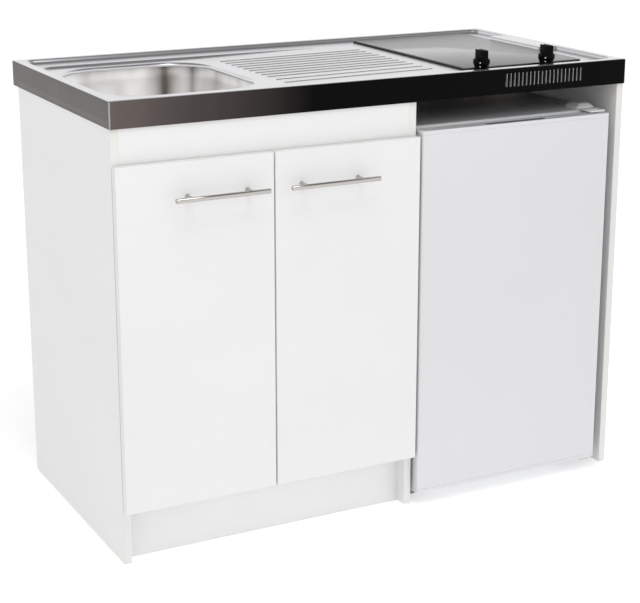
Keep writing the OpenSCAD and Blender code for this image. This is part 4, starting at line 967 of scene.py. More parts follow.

# %% [markdown]
# The front of the fold carries the row of air slots for the hob. A punch makes them at an even pitch,
# so one Geometry Nodes recipe cuts the whole plate. The punch bends a small lip inwards at each slot.
# The fold's dark colour is a painted reflection, so the walls inside the slots and the lips keep the
# plain finish of the top steel.

# %% Punch the air slots
slot_count, slot_pitch = 20, 10
slots = cut_plate.make(length=1194.0, height=51.0, thickness=1.0, count=slot_count, pitch=float(slot_pitch),
                       first=288.0, rise=3.5, hole_width=4.0, hole_height=30.0, finish=front_fold)
fold = Piece("worktop_front_fold", front_fold, top_steel)
fold.add(slots, place=at(0, 1, 921.5, way="-Y"))
fold.repaint(1, lambda centre, normal: abs(normal.y) < 0.5 and 280 < centre.x < 490 and 905 < centre.z < 945)
slot_lip = block_part("slot_lip", top_steel, (-0.3, 0.6, -14), (0.3, 4.2, 14), ease=0.15, steps=1)
fold.lay(slot_lip, [(289.7 + slot_pitch * i, 0, 925) for i in range(slot_count)], finish=1)
fold.done("worktop_steel", "worktop_sheet", crisp=20)

# %% [markdown]
# The bowl is deep-drawn: walls with a little draft, a wide turn, and a floor that falls to the waste.
# It is drawn through rings along the same rays. The waste is a turned cup under a pressed strainer
# with a hole in its middle and two circles of holes, made by a small recipe of its own.

# %% Draw the bowl
turn_radius, turn_z, floor_z, hole_radius = 42, 832, 787.2, 27
rings = [bowl_ring(-inset, z) for inset, z in ((0, lip_end), (1, 905), (2.4, 880), (4, 855), (6, turn_z))]
rings += [bowl_ring(-6 - turn_radius * (1 - cos(bend)), turn_z - turn_radius * sin(bend))
          for bend in (radians(9 * i) for i in range(1, 11))]
last = rings[-1]
for share in (0.2, 0.45, 0.7, 0.9, 1.0):
    ring = []
    for x, y, z in last:
        heading = atan2(y - bowl_y, x - bowl_x)
        ring.append((x + share * (bowl_x + hole_radius * cos(heading) - x),
                     y + share * (bowl_y + hole_radius * sin(heading) - y), z + share * (floor_z - z)))
    rings.append(ring)
bowl = Piece("sink_bowl_shell", bowl_steel, under_steel)
bowl.skinned(rings, ends="open", outward=False)
sheet_metal(bowl.done("bowl_steel", "sink_bowl", crisp=60), 1)

# %% The strainer recipe
strainer = Recipe("strainer plate", radius="size", thickness="size", hole="size")
curve_circle = "GeometryNodeCurvePrimitiveCircle"
curves = [strainer.node(curve_circle, values={0: 48, 4: strainer.radius})]
one_hole = strainer.node(curve_circle, values={0: 12, 4: strainer.hole})
middle = strainer.node("GeometryNodePoints", values={0: 1})
circles = [strainer.node("GeometryNodeMeshCircle", values=[count, strainer.radius * share])
           for count, share in ((6, 0.36), (12, 0.72))]
curves += [strainer.realized(strainer.copies(points, one_hole)) for points in (middle, *circles)]
strainer.ends_with(strainer.thickened(strainer.filled(curves), strainer.thickness), smooth=False)
print("strainer: a rim and", len(curves) - 1, "sets of holes")

# %% The waste
waste = Piece("sink_waste_cup", waste_steel)
waste.turned([(35, 787), (34.6, 788.3), (33, 789), (27, 788.4), (24, 786.6), (22.6, 783), (22.2, 776),
              (22.2, 731), (25, 731), (25, 787)], (bowl_x, bowl_y, 0), sides=64)
plate = strainer.make(radius=22.4, thickness=1.4, hole=1.9, finish=waste_steel)
waste.add(plate, place=at(bowl_x, bowl_y, 780))
waste.turned([(0, 783.4), (2.6, 783), (3.4, 781.8), (3.4, 781), (0, 781)], (bowl_x, bowl_y, 0), sides=20)
waste.done("waste_steel", "sink_waste")

seal = Piece("waste_seal_ring", seal_rubber)
seal.turned([(35, 783.6), (35, 785.4), (34.3, 786), (25.1, 786), (25.1, 783), (34.3, 783)],
            (bowl_x, bowl_y, 0), sides=64)
seal.done("black_rubber", "waste_seal")

# %% [markdown]
# Under the bowl hang a ribbed nut, the trap and the outlet pipe. A fitter can only turn the nuts by
# hand, so they have grip ribs: one rib, repeated in a ring. The trap is one pipe bent along a line.

# %% Nut, trap and outlet
bar_room = 12
grip_bar = block_part("grip_bar", pipe_plastic, (-1, -1.1, 1), (1.3, 1.1, 11), ease=0.5)


def ribbed_nut(piece, base, axis, radius, bore, height):
    outside = [(radius - 1, 0), (radius, 1), (radius, height - 1), (radius - 1, height)]
    piece.turned([*outside, (bore, height), (bore, 0)], base, axis, sides=48)
    piece.ring_of(grip_bar, 24, radius, at(*base, way=axis) @ Matrix.Diagonal((1, 1, height / bar_room, 1)))


nut = Piece("waste_nut_ribbed", pipe_plastic)
ribbed_nut(nut, (bowl_x, bowl_y, 771), "Z", 35.6, 25.1, 12)
nut.done("white_plastic", "waste_nut")

low_z, outlet_z, second_y, outlet_y = 622, 710, bowl_y + 76, bowl_y + 114
trap = Piece("trap_bent_pipe", pipe_plastic)
route = [(bowl_x, bowl_y, 730), (bowl_x, bowl_y, low_z), (bowl_x, second_y, low_z),
         (bowl_x, second_y, outlet_z), (bowl_x, outlet_y, outlet_z)]
trap.add(bent_pipe.make(line_mesh(route), bend=38.0, radius=20.0, sides=40, finish=pipe_plastic))
ribbed_nut(trap, (bowl_x, bowl_y, outlet_z), "Z", 24.6, 18.0, 20)
ribbed_nut(trap, (bowl_x, bowl_y + 102, outlet_z), "Y", 23.6, 18.0, 12)
for base in ((bowl_x, bowl_y, 650), (bowl_x, second_y, 662)):
    trap.turned([(21.4, 0), (22, 1), (22, 4), (21.4, 5), (19, 5), (19, 0)], base)
trap.done("white_plastic", "trap_pipe")

outlet = Piece("outlet_pipe_end", pipe_plastic)
outlet.turned([(19.6, 0), (20, 0.6), (20, 78), (20, 89.2), (19.4, 90), (18, 90), (18, 0)],
              (bowl_x, outlet_y, outlet_z), "Y", sides=48)
outlet.done("white_plastic", "outlet_pipe")
finish_node("worktop_battens", pine)

# %% [markdown]
# ## The hob
# A sheet of glass-ceramic lies on a seal over the cut-out. Its edge is ground round. Below it, each zone
# is a pressed fibre dish with a wavy strip of heating wire. The strip follows a spiral, and a sine
# moves it in and out, so a recipe makes it.

# %% Glass, seal and tray
glass = Piece("hob_glass_plate", hob_glass)
glass_steps = ((1.2, 5, 943.5), (0, 6, 944.7), (0, 6, 946.3), (0.35, 5.7, 947.15), (1.2, 5, 947.5))
glass.skinned([round_ring((221, 56, 521, 560), *step) for step in glass_steps])
glass.done("hob_glass", "hob_glass", crisp=25)
finish_node("hob_seal", seal_rubber)

tray = Piece("hob_tray_pressed", black_enamel)
tray.tub((238, 73, 907.5), (504, 543, 943.4), 1.0, 8)
for bead_x in (262, 480):
    tray.block((bead_x - 3, 90, 908.3), (bead_x + 3, 526, 909.1), ease=0.3)
tray.done("tray_steel", "hob_tray")

# %% The heating strip recipe and the dishes
wavy_strip = Recipe("wavy heating strip", turns="size", inner="size", outer="size", wave="size")
spiral = wavy_strip.node("GeometryNodeCurveSpiral",
                         values=[44, wavy_strip.turns, wavy_strip.inner, wavy_strip.outer, 0.0])
out_and_in = wavy_strip.node("ShaderNodeVectorMath", {"operation": "NORMALIZE"},
                             [wavy_strip.node("GeometryNodeInputPosition")])
swing = wavy_strip.maths("SINE", wavy_strip.node("GeometryNodeInputIndex") * (pi / 2))
offset = wavy_strip.node("ShaderNodeVectorMath", {"operation": "SCALE"},
                         {"Vector": out_and_in, "Scale": swing * wavy_strip.wave})
moved = wavy_strip.node("GeometryNodeSetPosition", values={"Geometry": spiral, "Offset": offset})
upright = wavy_strip.node("GeometryNodeSetCurveNormal", {"mode": "Z_UP"}, {0: moved})
ribbon = wavy_strip.node(rectangle, values=[0.7, 5.0])
wavy_strip.ends_with(wavy_strip.along(upright, ribbon), smooth=False)

dishes = Piece("heater_dishes_fibre", heater_fibre)
strips = Piece("heater_strips_wavy", heating_strip)
for zone_y, outer in hob_zones:
    inner = outer - 8
    dishes.turned([(0, 908.5), (outer - 2, 908.5), (outer, 910.5), (outer, 942), (outer - 1, 943.2),
                   (inner + 1, 943.2), (inner, 942), (inner - 0.5, 926), (inner - 4, 922.6), (0, 922.5)],
                  (hob_x, zone_y, 0), sides=72)
    strip = wavy_strip.make(turns=5.5, inner=14.0, outer=float(inner - 10), wave=1.1, finish=heating_strip)
    strips.add(strip, place=at(hob_x, zone_y, 925.2))
dishes.done("heater_fibre", "heater_dishes")
strips.done("heater_strip", "heater_strips")

# %% [markdown]
# Below the rim sit the two regulators and the box where the supply is joined. Each is a moulded case
# with a metal yoke or a lid, and small screws.

# %% Screw heads, regulators and terminal box
screw_head = turned_part("screw_head", zinc, [(0, 0.7), (0.9, 0.75), (1.1, 1.5), (2.2, 1.5), (3.0, 1.1),
                                              (3.3, 0.0), (0, 0.0)], 14)

cases = Piece("regulator_cases", dark_plastic, zinc)
for x, y in knob_places:
    cases.block((x - 23, y - 17, 909), (x + 23, y + 17, 938), ease=1.5)
    cases.block((x - 20, y - 15, 938), (x + 20, y + 15, 941), finish=1)
    cases.turned([(5, 940.5), (5, 943), (3.1, 943), (3.1, 940.5)], (x, y, 0), finish=1, sides=24)
    for side_y in (y - 17, y + 17):
        for contact_x in (x - 16, x - 4, x + 8):
            cases.block((contact_x, side_y - 1, 914), (contact_x + 4, side_y + 1, 921), finish=1, ease=0.3)
cases.done("dark_plastic", "regulators")

joint_box = Piece("terminal_box_lidded", dark_plastic, zinc)
joint_box.block((414, 493, 883.5), (484, 533, 907.5), ease=2)
joint_box.block((416, 495, 882.6), (482, 531, 884.6), ease=0.8)
joint_box.turned([(7, 0), (9, 2), (9, 6), (7.4, 7), (7.4, 14), (6, 14), (6, 0)], (414, 513, 895.5), "-X",
                 sides=24)
joint_box.lay(screw_head, [(x, y, 882.7) for y in (500, 526) for x in (421, 477)], (0, 0, -1), 1)
joint_box.done("dark_plastic", "terminal_box")

# %% [markdown]
# The knobs are what a hand meets first. Each has a narrow foot, a cone, a round body and a straight
# grip with a groove along its top. Two small white dots sit on the pointer side.

# %% Knobs
knob_profile = [(0, 968.6), (12, 968.8), (15.4, 969), (16.9, 968.2), (17.6, 966.6), (18, 964), (18, 959.2),
                (17.2, 957.6), (15, 951.4), (14.5, 950), (14.5, 944.2), (14, 943.2), (7, 943.2), (7, 947),
                (3.2, 947), (3.2, 960), (0, 960)]
grip_outline = [(-6.3, -3), (-6.2, 15), (-5.9, 17.2), (-5, 18), (-3.6, 18), (-2.6, 17.2), (0.6, 12.6),
                (1.4, 12.6), (3.4, 17.2), (4.2, 18), (5.2, 18), (5.9, 17.2), (6.2, 15), (6.3, -3)]
pointer_angle = radians(-42)
way = Vector((sin(pointer_angle), -cos(pointer_angle), 0))
for side, (x, y) in zip(("left", "right"), knob_places):
    knob = Piece(side + "_hob_knob", knob_plastic, dot_white)
    knob.turned(knob_profile, (x, y, 0), sides=56)
    knob.slab(grip_outline, -17, 17, ease=1.6, steps=3, place=at(x, y, 969, way="-Y"))
    dot = turned_part("dot", dot_white, [(0, 0.35), (1.0, 0.3), (1.35, 0), (0, -0.4)], 14)
    places = [Vector((x, y, z)) + way * out for out, z in ((17.95, 961.5), (15.7, 953.2))]
    knob.lay(dot, places, [way, way], finish=1)
    knob.done("knob_plastic", side + "_knob", side + "_knob_body")
for side in ("left", "right"):
    finish_node(side + "_spindle", zinc)

# %% [markdown]
# ## The sink cabinet
# The boards are sawn from faced chipboard, 16 mm thick. Only the sawn edges that show are banded, with
# a strip 0.8 mm thick. So each board is a core, with eased corners, and its bands are laid on as strips
# of their own: the fine line between face and band is real.

# %% Boards with banded edges
band = 0.8


def board(piece, low, high, bands):
    """A board; bands names the banded sides, such as -Y for the front."""
    low, high, strips = list(low), list(high), []
    for side in bands.split():
        axis = "XYZ".index(side[1])
        strip_low, strip_high = list(low), list(high)
        if side[0] == "-":
            strip_high[axis] = low[axis] = low[axis] + band
        else:
            strip_low[axis] = high[axis] = high[axis] - band
        strips.append((strip_low, strip_high))
    piece.block(low, high, ease=0.15, steps=1)
    for strip_low, strip_high in strips:
        piece.block(strip_low, strip_high, finish=1, ease=0.35)


def board_piece(name, node, *boards):
    made = Piece(name, board_white, edge_band)
    for low, high, bands in boards:
        board(made, low, high, bands)
    made.done("white_board", node)


thick = 16
left_x, middle_x, end_x = -598, 54, 582  # left faces of the three upright boards
front_y, back_y, floor_top, rail_z, board_top = 4, 570, 134, 816, 896
room_x0, room_x1 = left_x + thick, middle_x
for name, node, x in (("left_side", "left_side_panel", left_x), ("middle", "middle_panel", middle_x),
                      ("end", "end_panel", end_x)):
    board_piece(name + "_board", node, ((x, front_y, 4), (x + thick, back_y, board_top), "-Y +Y -Z"))
board_piece("fixed_rail_over_doors", "apron_rail",
            ((room_x0, front_y, rail_z), (room_x1, front_y + thick, board_top), "-Z"))
board_piece("cabinet_floor_board", "cabinet_floor",
            ((room_x0, front_y, floor_top - thick), (room_x1, back_y, floor_top), "-Y"))
board_piece("plinth_front_board", "plinth_board", ((room_x0, 36, 2), (room_x1, 52, floor_top - thick), "-Z"))
board_piece("rear_rail_boards", "rear_rails",
            ((room_x0, back_y - thick, rail_z), (room_x1, back_y, board_top), "-Z"),
            ((room_x0, back_y - thick, floor_top), (room_x1, back_y, floor_top + 80), "+Z"),
            ((middle_x + thick, back_y - thick, rail_z), (end_x, back_y, board_top), "-Z"))
print("room between the side boards:", room_x1 - room_x0, "mm")

# %% [markdown]
# The boards are held by screws under white caps, the doors land on soft pads, and the sides stand on
# nailed glides. These repeat, so a recipe lays one part at every place.

# %% Screws, pads and glides
to_left, to_right, to_front, upwards = (-1, 0, 0), (1, 0, 0), (0, -1, 0), (0, 0, 1)
long_screw = turned_part("capped_screw", white_nylon, [(0, 0.5), (2.6, 0.48), (3.9, 0.3), (4.5, 0), (4, 0),
                                                       (4, -2), (2.5, -2.6), (2.5, -44), (0, -48)], 16)
side_screws = [(94, 126), (480, 126), (12, 834), (12, 878), (562, 856), (562, 174), (44, 59)]
places = [(x, y, z) for x in (left_x, middle_x + thick) for y, z in side_screws]
places += [(end_x + thick, 562, z) for z in (834, 878)]
capped = Piece("capped_screws", white_nylon)
capped.lay(long_screw, places, [to_left] * 7 + [to_right] * 9)
capped.done("bright_steel", "carcass_screws")

pad = turned_part("pad", gasket_grey, [(0, 2.9), (1.8, 2.7), (3.2, 1.9), (4, 0.6), (4, 0), (0, 0)], 20)
pads = Piece("door_pads", gasket_grey)
door_gap_x = -264
pads.lay(pad, [(door_gap_x + side, front_y, z) for side in (-30, 30) for z in (126, 821)], to_front)
pads.done("grey_seal", "door_buffers")

glide = turned_part("glide", white_nylon, [(0, 0), (4.6, 0), (6.2, 0.6), (7, 2), (7, 4), (0, 4)], 24)
glides = Piece("nail_glides", white_nylon)
glides.lay(glide, [(x + thick / 2, y, 0) for x in (left_x, middle_x, end_x) for y in (44, 530)], upwards)
glides.done("white_plastic", "glides")

# %% [markdown]
# Each door is banded on all four sides, and has two round bores in its back for the hinge cups. The
# bores are cut by the same recipe as the air slots: a door is a front layer and a bored back layer. The
# right door is the left one in a mirror, so it is made the same way and then mirrored.

# %% Doors
door_x1, door_z0, door_z1, door_front, door_back = -265.5, 118, 826, -15, 1
cup_x, cup_zs, bore, bore_depth = -577.5, (218, 726), 35.0, 14
core_x0, core_x1, core_z0, core_z1 = left_x + band, door_x1 - band, door_z0 + band, door_z1 - band
stand_upright = ((0, 1, 0), (0, 0, 1), (1, 0, 0))  # a plate's length goes up, its height to the right


def door(made):
    bore_floor = door_back - bore_depth
    made.block((core_x0, door_front, core_z0), (core_x1, bore_floor, core_z1), ease=0.15, steps=1)
    middle = ((core_x0 + core_x1) / 2, bore_floor, (door_z0 + door_z1) / 2)
    bored = cut_plate.make(length=door_z1 - door_z0 - 2 * band, height=core_x1 - core_x0,
                           thickness=float(bore_depth), count=len(cup_zs), pitch=float(cup_zs[1] - cup_zs[0]),
                           hole_width=bore, hole_height=bore + 0.01, first=cup_zs[0] - middle[2],
                           rise=cup_x - middle[0], finish=board_white)
    made.add(bored, place=Matrix.Translation(middle) @ Matrix(stand_upright).to_4x4())
    for x0, z0, x1, z1 in ((left_x, door_z0, core_x0, door_z1), (core_x1, door_z0, door_x1, door_z1),
                           (core_x0, door_z0, core_x1, core_z0), (core_x0, core_z1, core_x1, door_z1)):
        made.block((x0, door_front, z0), (x1, door_back, z1), finish=1, ease=0.35)


def handle(made):
    bar_x, bar_y, bar_z, post_inset = -487.5, -45, 756, 36
    made.turned([(0, 0), (3.9, 0), (4.6, 0.25), (5, 0.9), (5, 199.1), (4.6, 199.75), (3.9, 200), (0, 200)],
                (bar_x, bar_y, bar_z), "X", sides=32)
    for post_x in (bar_x + post_inset, bar_x + 200 - post_inset):
        made.turned([(0, 2), (4, 2), (4, 28.6), (4.9, 29.1), (5.1, 30), (0, 30)], (post_x, bar_y, bar_z), "Y",
                    sides=28)


print(f"door: {door_x1 - left_x} by {door_z1 - door_z0} mm")

# %% [markdown]
# A cup hinge has a pressed cup in the door, with two wings and their screws, and a cranked arm on a
# plate in the cabinet. The pin joins them inside the cup, 7.5 mm from the door's edge.

# %% Hinges
hinge_x, hinge_y = -590.5, -9


def cups(made):
    profile = [(0, 0), (15.8, 0), (17, 0.6), (17.4, 1.6), (17.4, 13.9), (17.45, 14.1), (17.45, 14.7),
               (17, 14.9), (16.4, 14.9), (16.2, 14.5), (16.2, 2), (15.4, 1.2), (0, 1.2)]
    for z in cup_zs:
        made.turned(profile, (cup_x, door_back - 13.9, z), "Y", sides=48)
        for wing_z, ear_z in ((z - 21, z - 5.9), (z + 21, z + 5.9)):
            made.block((cup_x - 8.5, door_back, wing_z - 5), (cup_x + 8.5, door_back + 1, wing_z + 5),
                       ease=0.4)
            made.block((hinge_x - 2.6, door_back - 13.2, ear_z - 1), (hinge_x + 4, hinge_y + 4, ear_z + 1),
                       ease=0.4)
        made.lay(screw_head, [(cup_x, door_back + 0.9, z + side) for side in (-21.5, 21.5)], (0, 1, 0))


def pins(made):
    for z in cup_zs:
        made.turned([(0, -7.2), (1.0, -7.2), (1.2, -6.9), (1.2, 6.9), (1.0, 7.2), (0, 7.2)],
                    (hinge_x, hinge_y, z), sides=16)


def arms(made):
    knuckle = [(2.4, -4.3), (2.4, 4.3), (2.2, 4.5), (1.35, 4.5), (1.35, -4.5), (2.2, -4.5)]
    crank = [(hinge_x + 1.8, -10.2), (-576, -10.2), (-576, 24), (-571.5, 30), (-571.5, 62), (-574, 62),
             (-574, 31), (-578.5, 25), (-578.5, -7.8), (hinge_x + 1.8, -7.8)]
    for z in cup_zs:
        made.turned(knuckle, (hinge_x, hinge_y, z), sides=24)
        made.slab(crank, z - 4.5, z + 4.5)
        for cheek_z in (z - 8, z + 6.8):
            made.block((-578.4, 26, cheek_z), (-571.5, 61, cheek_z + 1.2), ease=0.3)
        made.block((-572.7, 32, z - 7.5), (-571.3, 61.5, z + 7.5), ease=0.4)
        to_board = Matrix.Translation((room_x0, 0, 0)) @ Matrix(((0, 0, 1), (1, 0, 0), (0, 1, 0))).to_4x4()
        made.slab(round_ring((24, z - 22, 64, z + 22), 0, 6, 0), 0, 3.5, place=to_board)
        made.lay(screw_head, [(-578.6, 44, z - 16), (-578.6, 44, z + 16), (-571.4, 38, z), (-571.4, 54, z)],
                 to_right)


print("hinge line at x =", hinge_x, "and, mirrored,", 2 * door_gap_x - hinge_x)

# %% Hang the doors
for side in ("left", "right"):
    for maker, finishes, name, slot, node in (
            (door, (board_white, edge_band), "_door_board", "white_board", "_door"),
            (handle, (handle_steel,), "_bar_handle", "handle_steel", "_handle"),
            (cups, (zinc,), "_pressed_cups", "bright_steel", "_hinge_cups"),
            (pins, (zinc,), "_hinge_pins", "bright_steel", "_hinge_pins")):
        made = Piece(side + name, *finishes)
        maker(made)
        if side == "right":
            made.mirrored(door_gap_x)
        made.done(slot, side + node, side + "_door_body")
left_arms, right_arms = Piece("hinge_arms_cranked", zinc), Piece("right_arms", zinc)
arms(left_arms)
arms(right_arms)
right_arms.mirrored(door_gap_x)
hold = bpy.data.meshes.new("hold")
right_arms.mesh.to_mesh(hold)
left_arms.mesh.from_mesh(hold)
left_arms.done("bright_steel", "hinge_arms")

# %% [markdown]
# ## The refrigerator
# The body is one steel sheet bent over the top and both sides, with a back, and a niche at the bottom
# for the compressor. It is drawn as a bent strip with real thickness, and flat sheets that close it.
# Its top has a painted shadow that gets darker below the worktop.

# %% The case
case_x0, case_x1, case_y0, case_y1, case_z0, case_z1 = 77, 552, 38, 428, 26, 838
sheet, niche_y, niche_z = 0.8, 278, 200


def hoop(inset, radius):
    """Half the outline of the case from the front: up the left, over the top, down the right."""
    ring = round_ring((case_x0, case_z0 - 50, case_x1, case_z1), inset, radius, 0)
    upper = [(x, z) for x, z, _ in ring if z > case_z1 - radius - 9]
    return [(case_x0 + inset, case_z0), *reversed(upper), (case_x1 - inset, case_z0)]


case = Piece("case_bent_sheet", fridge_enamel, case_top)
strip = hoop(0, 4) + hoop(sheet, 3.2)[::-1]
case.skinned([[(x, y, z) for x, z in strip] for y in (case_y1, case_y0)])
# The top's upward faces get the painted shadow.
case.repaint(1, lambda centre, normal: normal.z > 0.9 and centre.z > case_z1 - 1)
for y0, z0, y1, z1 in ((case_y1 - sheet, niche_z, case_y1, case_z1 - sheet),
                       (niche_y, niche_z, case_y1 - sheet, niche_z + sheet),
                       (niche_y - sheet, case_z0, niche_y, niche_z + sheet),
                       (case_y0, case_z0, niche_y - sheet, case_z0 + sheet)):
    case.block((case_x0 + sheet, y0, z0), (case_x1 - sheet, y1, z1), ease=0.2)
for bead_x in (150, 479):
    case.block((bead_x - 6, case_y1 - 0.5, niche_z + 30), (bead_x + 6, case_y1 + 1.2, case_z1 - 40), ease=1)
case.done("white_enamel", "fridge_case")
finish_node("fridge_insulation", foam)

# %% [markdown]
# The food space is one sheet of plastic, drawn by vacuum into a mould: a flange, a rounded mouth, straight
# walls and a rounded step over the compressor. A skin through upright rings follows that: out along the
# back of the sheet, over the flange, and in again along the inside.

# %% The liner, drawn from front to back
cave_x0, cave_x1, cave_z0, cave_z1, cave_y1, step_y, step_z = 112, 517, 66, 798, 383, 233, 245
liner_wall, shelf_levels, ledge = 1.9, (257, 432), 8


def cave_ring(y, floor, grow=0.0, radius=12):
    return front_ring((cave_x0, floor, cave_x1, cave_z1), -grow, radius, y)


def step_rings(grow):
    """Rings over the rounded step, from front to back."""
    return [cave_ring(step_y + y + grow, cave_z0 + rise * (step_z - cave_z0), grow) for y, rise in
            ((-6, 0.0), (-3.6, 0.004), (-1.4, 0.02), (-0.3, 0.08), (0.3, 0.92), (1.4, 0.98), (3.6, 0.996),
             (6, 1.0))]


liner = Piece("liner_drawn_sheet", liner_plastic)
outside = [cave_ring(cave_y1 + liner_wall, step_z, liner_wall, 2), cave_ring(cave_y1 - 8, step_z, liner_wall)]
outside += [*reversed(step_rings(liner_wall)), cave_ring(48, cave_z0, liner_wall)]
mouth_box, flange_box = (cave_x0 - 4, cave_z0 - 4, cave_x1 + 4, cave_z1 + 4), (78, 27, 551, 837)
flange = [front_ring(mouth_box, 0, 14, 40)]
flange += [front_ring(flange_box, inset, 3, y) for inset, y in ((0, 40), (0, 38.4), (0.6, 38))]
mouth = [front_ring(mouth_box, inset, 14, case_y0 + depth)
         for inset, depth in ((0, 0), (1.6, 0.3), (3, 1.2), (3.8, 2.6), (4, 4.4))]
inside = step_rings(0) + [cave_ring(cave_y1 - 8, step_z), cave_ring(cave_y1 - 2.5, step_z + 2, -2),
                          cave_ring(cave_y1, step_z + 8, -8)]
liner.skinned(outside + flange + mouth + inside)
for z in shelf_levels:
    for x0, x1 in ((cave_x0 - 0.5, cave_x0 + ledge), (cave_x1 - ledge, cave_x1 + 0.5)):
        liner.block((x0, 96, z - 6), (x1, cave_y1, z), ease=1.6)
liner.block((300, cave_y1 - 3, 262), (330, cave_y1 + 0.5, 270), ease=1)
liner.done("liner_plastic", "fridge_liner", crisp=50)

# %% [markdown]
# Two glass shelves lie on the ledges, each with a plastic strip clipped over its front and back edge.
# The drawer and the racks are moulded tubs with round corners, and the freezer box is bent aluminium.

# %% What stands in the food space
shelves = Piece("glass_shelves_edged", shelf_glass, trim_white)
for z in shelf_levels:
    shelves.block((112.8, 100, z), (516.2, 380, z + 4), ease=0.5)
    shelves.block((112.6, 96, z - 0.8), (516.4, 108, z + 5), finish=1, ease=1.2)
    shelves.block((112.6, 376, z + 0.2), (516.4, 382.5, z + 9), finish=1, ease=1.2)
shelves.done("shelf_glass", "glass_shelves")

drawer = Piece("salad_drawer_tub", rack_plastic)
drawer.tub((120, 90, 66), (509, 229, 236), 2.0, 9, draft=1.5)
drawer.block((262, 86.5, 219), (367, 91.5, 234), ease=2)
for rib_x in (180, 449):
    drawer.block((rib_x - 1, 90.8, 80), (rib_x + 1, 93, 226), ease=0.4)
drawer.done("clear_plastic", "salad_drawer", crisp=50)

freezer = Piece("freezer_box_bent", freezer_aluminium)
freezer.tub((116, 648, -373), (513, 798, -64), 2.0, 7, place=AXES["-Y"])
freezer.done("freezer_aluminium", "freezer_box", crisp=50)

flap = Piece("freezer_flap_framed", liner_plastic)
flap_steps = ((0.8, 63.5), (0, 62.7), (0, 56.6), (0.9, 55.7), (2, 55.5), (13, 55.5), (14.5, 57), (15.5, 57.3))
flap.skinned([front_ring((117, 649, 512, 796), inset, 5, y) for inset, y in flap_steps])
flap.block((270, 51.8, 654), (359, 57, 660), ease=1.6)
for x in (121, 508):
    flap.turned([(0, 0), (2, 0), (2, 1.7), (1.7, 2), (0, 2)], (x, 59.5, 796), sides=16)
flap.done("liner_plastic", "freezer_flap", crisp=40)

# %% [markdown]
# The dial sits on the side of a small box with the lamp. Seven marks count its settings round it.

# %% Thermostat
dial_y, dial_z, mark_circle = 168, 622, 17
control = Piece("thermostat_box_moulded", liner_plastic, dark_plastic, shelf_glass)
control.block((485, 123, 600), (517.5, 213, 644), ease=5, steps=4)
control.block((487, 186, 604), (500, 214.5, 640), finish=2, ease=3, steps=3)
for louvre in range(5):
    control.block((484.4, 127, 606 + 7 * louvre), (486, 146, 608.6 + 7 * louvre), finish=1, ease=0.5)
mark = turned_part("mark", dark_plastic, [(0, 0.25), (0.7, 0.2), (0.9, 0), (0, -0.3)], 10)
turns = [radians(-30 + 50 * i) for i in range(7)]
control.lay(mark, [(485, dial_y + mark_circle * cos(turn), dial_z + mark_circle * sin(turn))
                   for turn in turns], to_left, finish=1)
control.done("liner_plastic", "thermostat_box")

dial_place = (484.5, dial_y, dial_z)
dial = Piece("thermostat_dial_gripped", trim_white)
dial.turned([(0, 0.5), (13, 0.5), (13.6, 1.2), (13.6, 8.4), (12.6, 9.6), (9, 10), (0, 10)], dial_place, "-X",
            sides=56)
dial.turned([(0, -9), (2.9, -9), (2.9, 1), (0, 1)], dial_place, "-X", sides=20)
grip_rings = [[(x, dial_y + y, dial_z + z) for y, z, _ in round_ring((-half, -11.6, half, 11.6), 0, 1.6, 0)]
              for x, half in ((475.4, 2.6), (471.2, 1.9), (470.6, 1.2))]
dial.skinned(grip_rings)
dial_rib = block_part("dial_grip", trim_white, (-0.5, -0.5, 1.4), (0.45, 0.5, 8.2), ease=0.2)
dial.ring_of(dial_rib, 36, 13.6, at(*dial_place, way="-X"))
dial.done("liner_plastic", "thermostat_dial", "thermostat_body")

# %% [markdown]
# The door's steel skin is rounded along its upright front edges. Plastic caps close its top and bottom,
# and the top one sinks into a slot for the fingers. One skin runs up the side, over the cap and down into
# the slot, through rings with the same number of places.

# %% The door
door_body = "refrigerator_door"
low_z, high_z, cap, pin_x, pin_y = 30, 836, 9, 540, 8
slot_x0, slot_y0, slot_x1, slot_y1 = 240.5, -8, 388.5, 10


def skin_rings(*steps):
    return [round_ring((77, -14, 552, 20), inset, 5 - inset, z, back_radius=1) for inset, z in steps]


shell = Piece("refrigerator_door_skin", fridge_enamel, trim_white, door_cap_plastic, slot_painted_shade)
skin_low, skin_high = low_z + cap, high_z - cap
shell.skinned(skin_rings((1, skin_low - 0.5), (0, skin_low + 0.1), (0, skin_high - 0.1),
                         (1, skin_high + 0.5)))
shell.skinned(skin_rings((1, skin_low), (0.4, skin_low - 0.3), (0, skin_low - 1), (0, low_z + 1.6),
                         (0.5, low_z + 0.4), (1.6, low_z)), finish=1)
slot_rings = [round_ring((slot_x0, slot_y0, slot_x1, slot_y1), -grow, 4 + grow, z) for grow, z in
              ((1.2, high_z), (0.4, high_z - 0.4), (0, high_z - 1.4), (-0.4, 817), (-1.2, 815.2),
               (-3, 814.4))]
shell.skinned(skin_rings((1, skin_high), (0.4, skin_high + 0.3), (0, skin_high + 1), (0, high_z - 1.6),
                         (0.5, high_z - 0.4), (1.6, high_z)) + slot_rings, finish=1)
shell.repaint(0, lambda centre, normal: abs(normal.z) < 0.5)
# Painted shade: the flat top and bottom faces of the caps get a grey copy of the white trim.
shell.repaint(2, lambda centre, normal: abs(normal.z) > 0.97 and not low_z + 1 < centre.z < high_z - 1)
# Painted shade: the inside of the finger slot gets a dark grey.
shell.repaint(3, lambda centre, normal: 810 < centre.z < high_z - 0.3
              and slot_x0 - 1 < centre.x < slot_x1 + 1 and slot_y0 - 1 < centre.y < slot_y1 + 1)
for z, way in ((low_z, "-Z"), (high_z, "Z")):
    shell.turned([(6.6, -0.4), (6.6, 0.5), (6.2, 0.8), (4.9, 0.8), (4.5, 0.4), (4.5, -0.4)],
                 (pin_x, pin_y, z), way, finish=1, sides=28)
shell.done("white_enamel", "fridge_door", door_body)
finish_node("fridge_door_foam", foam)

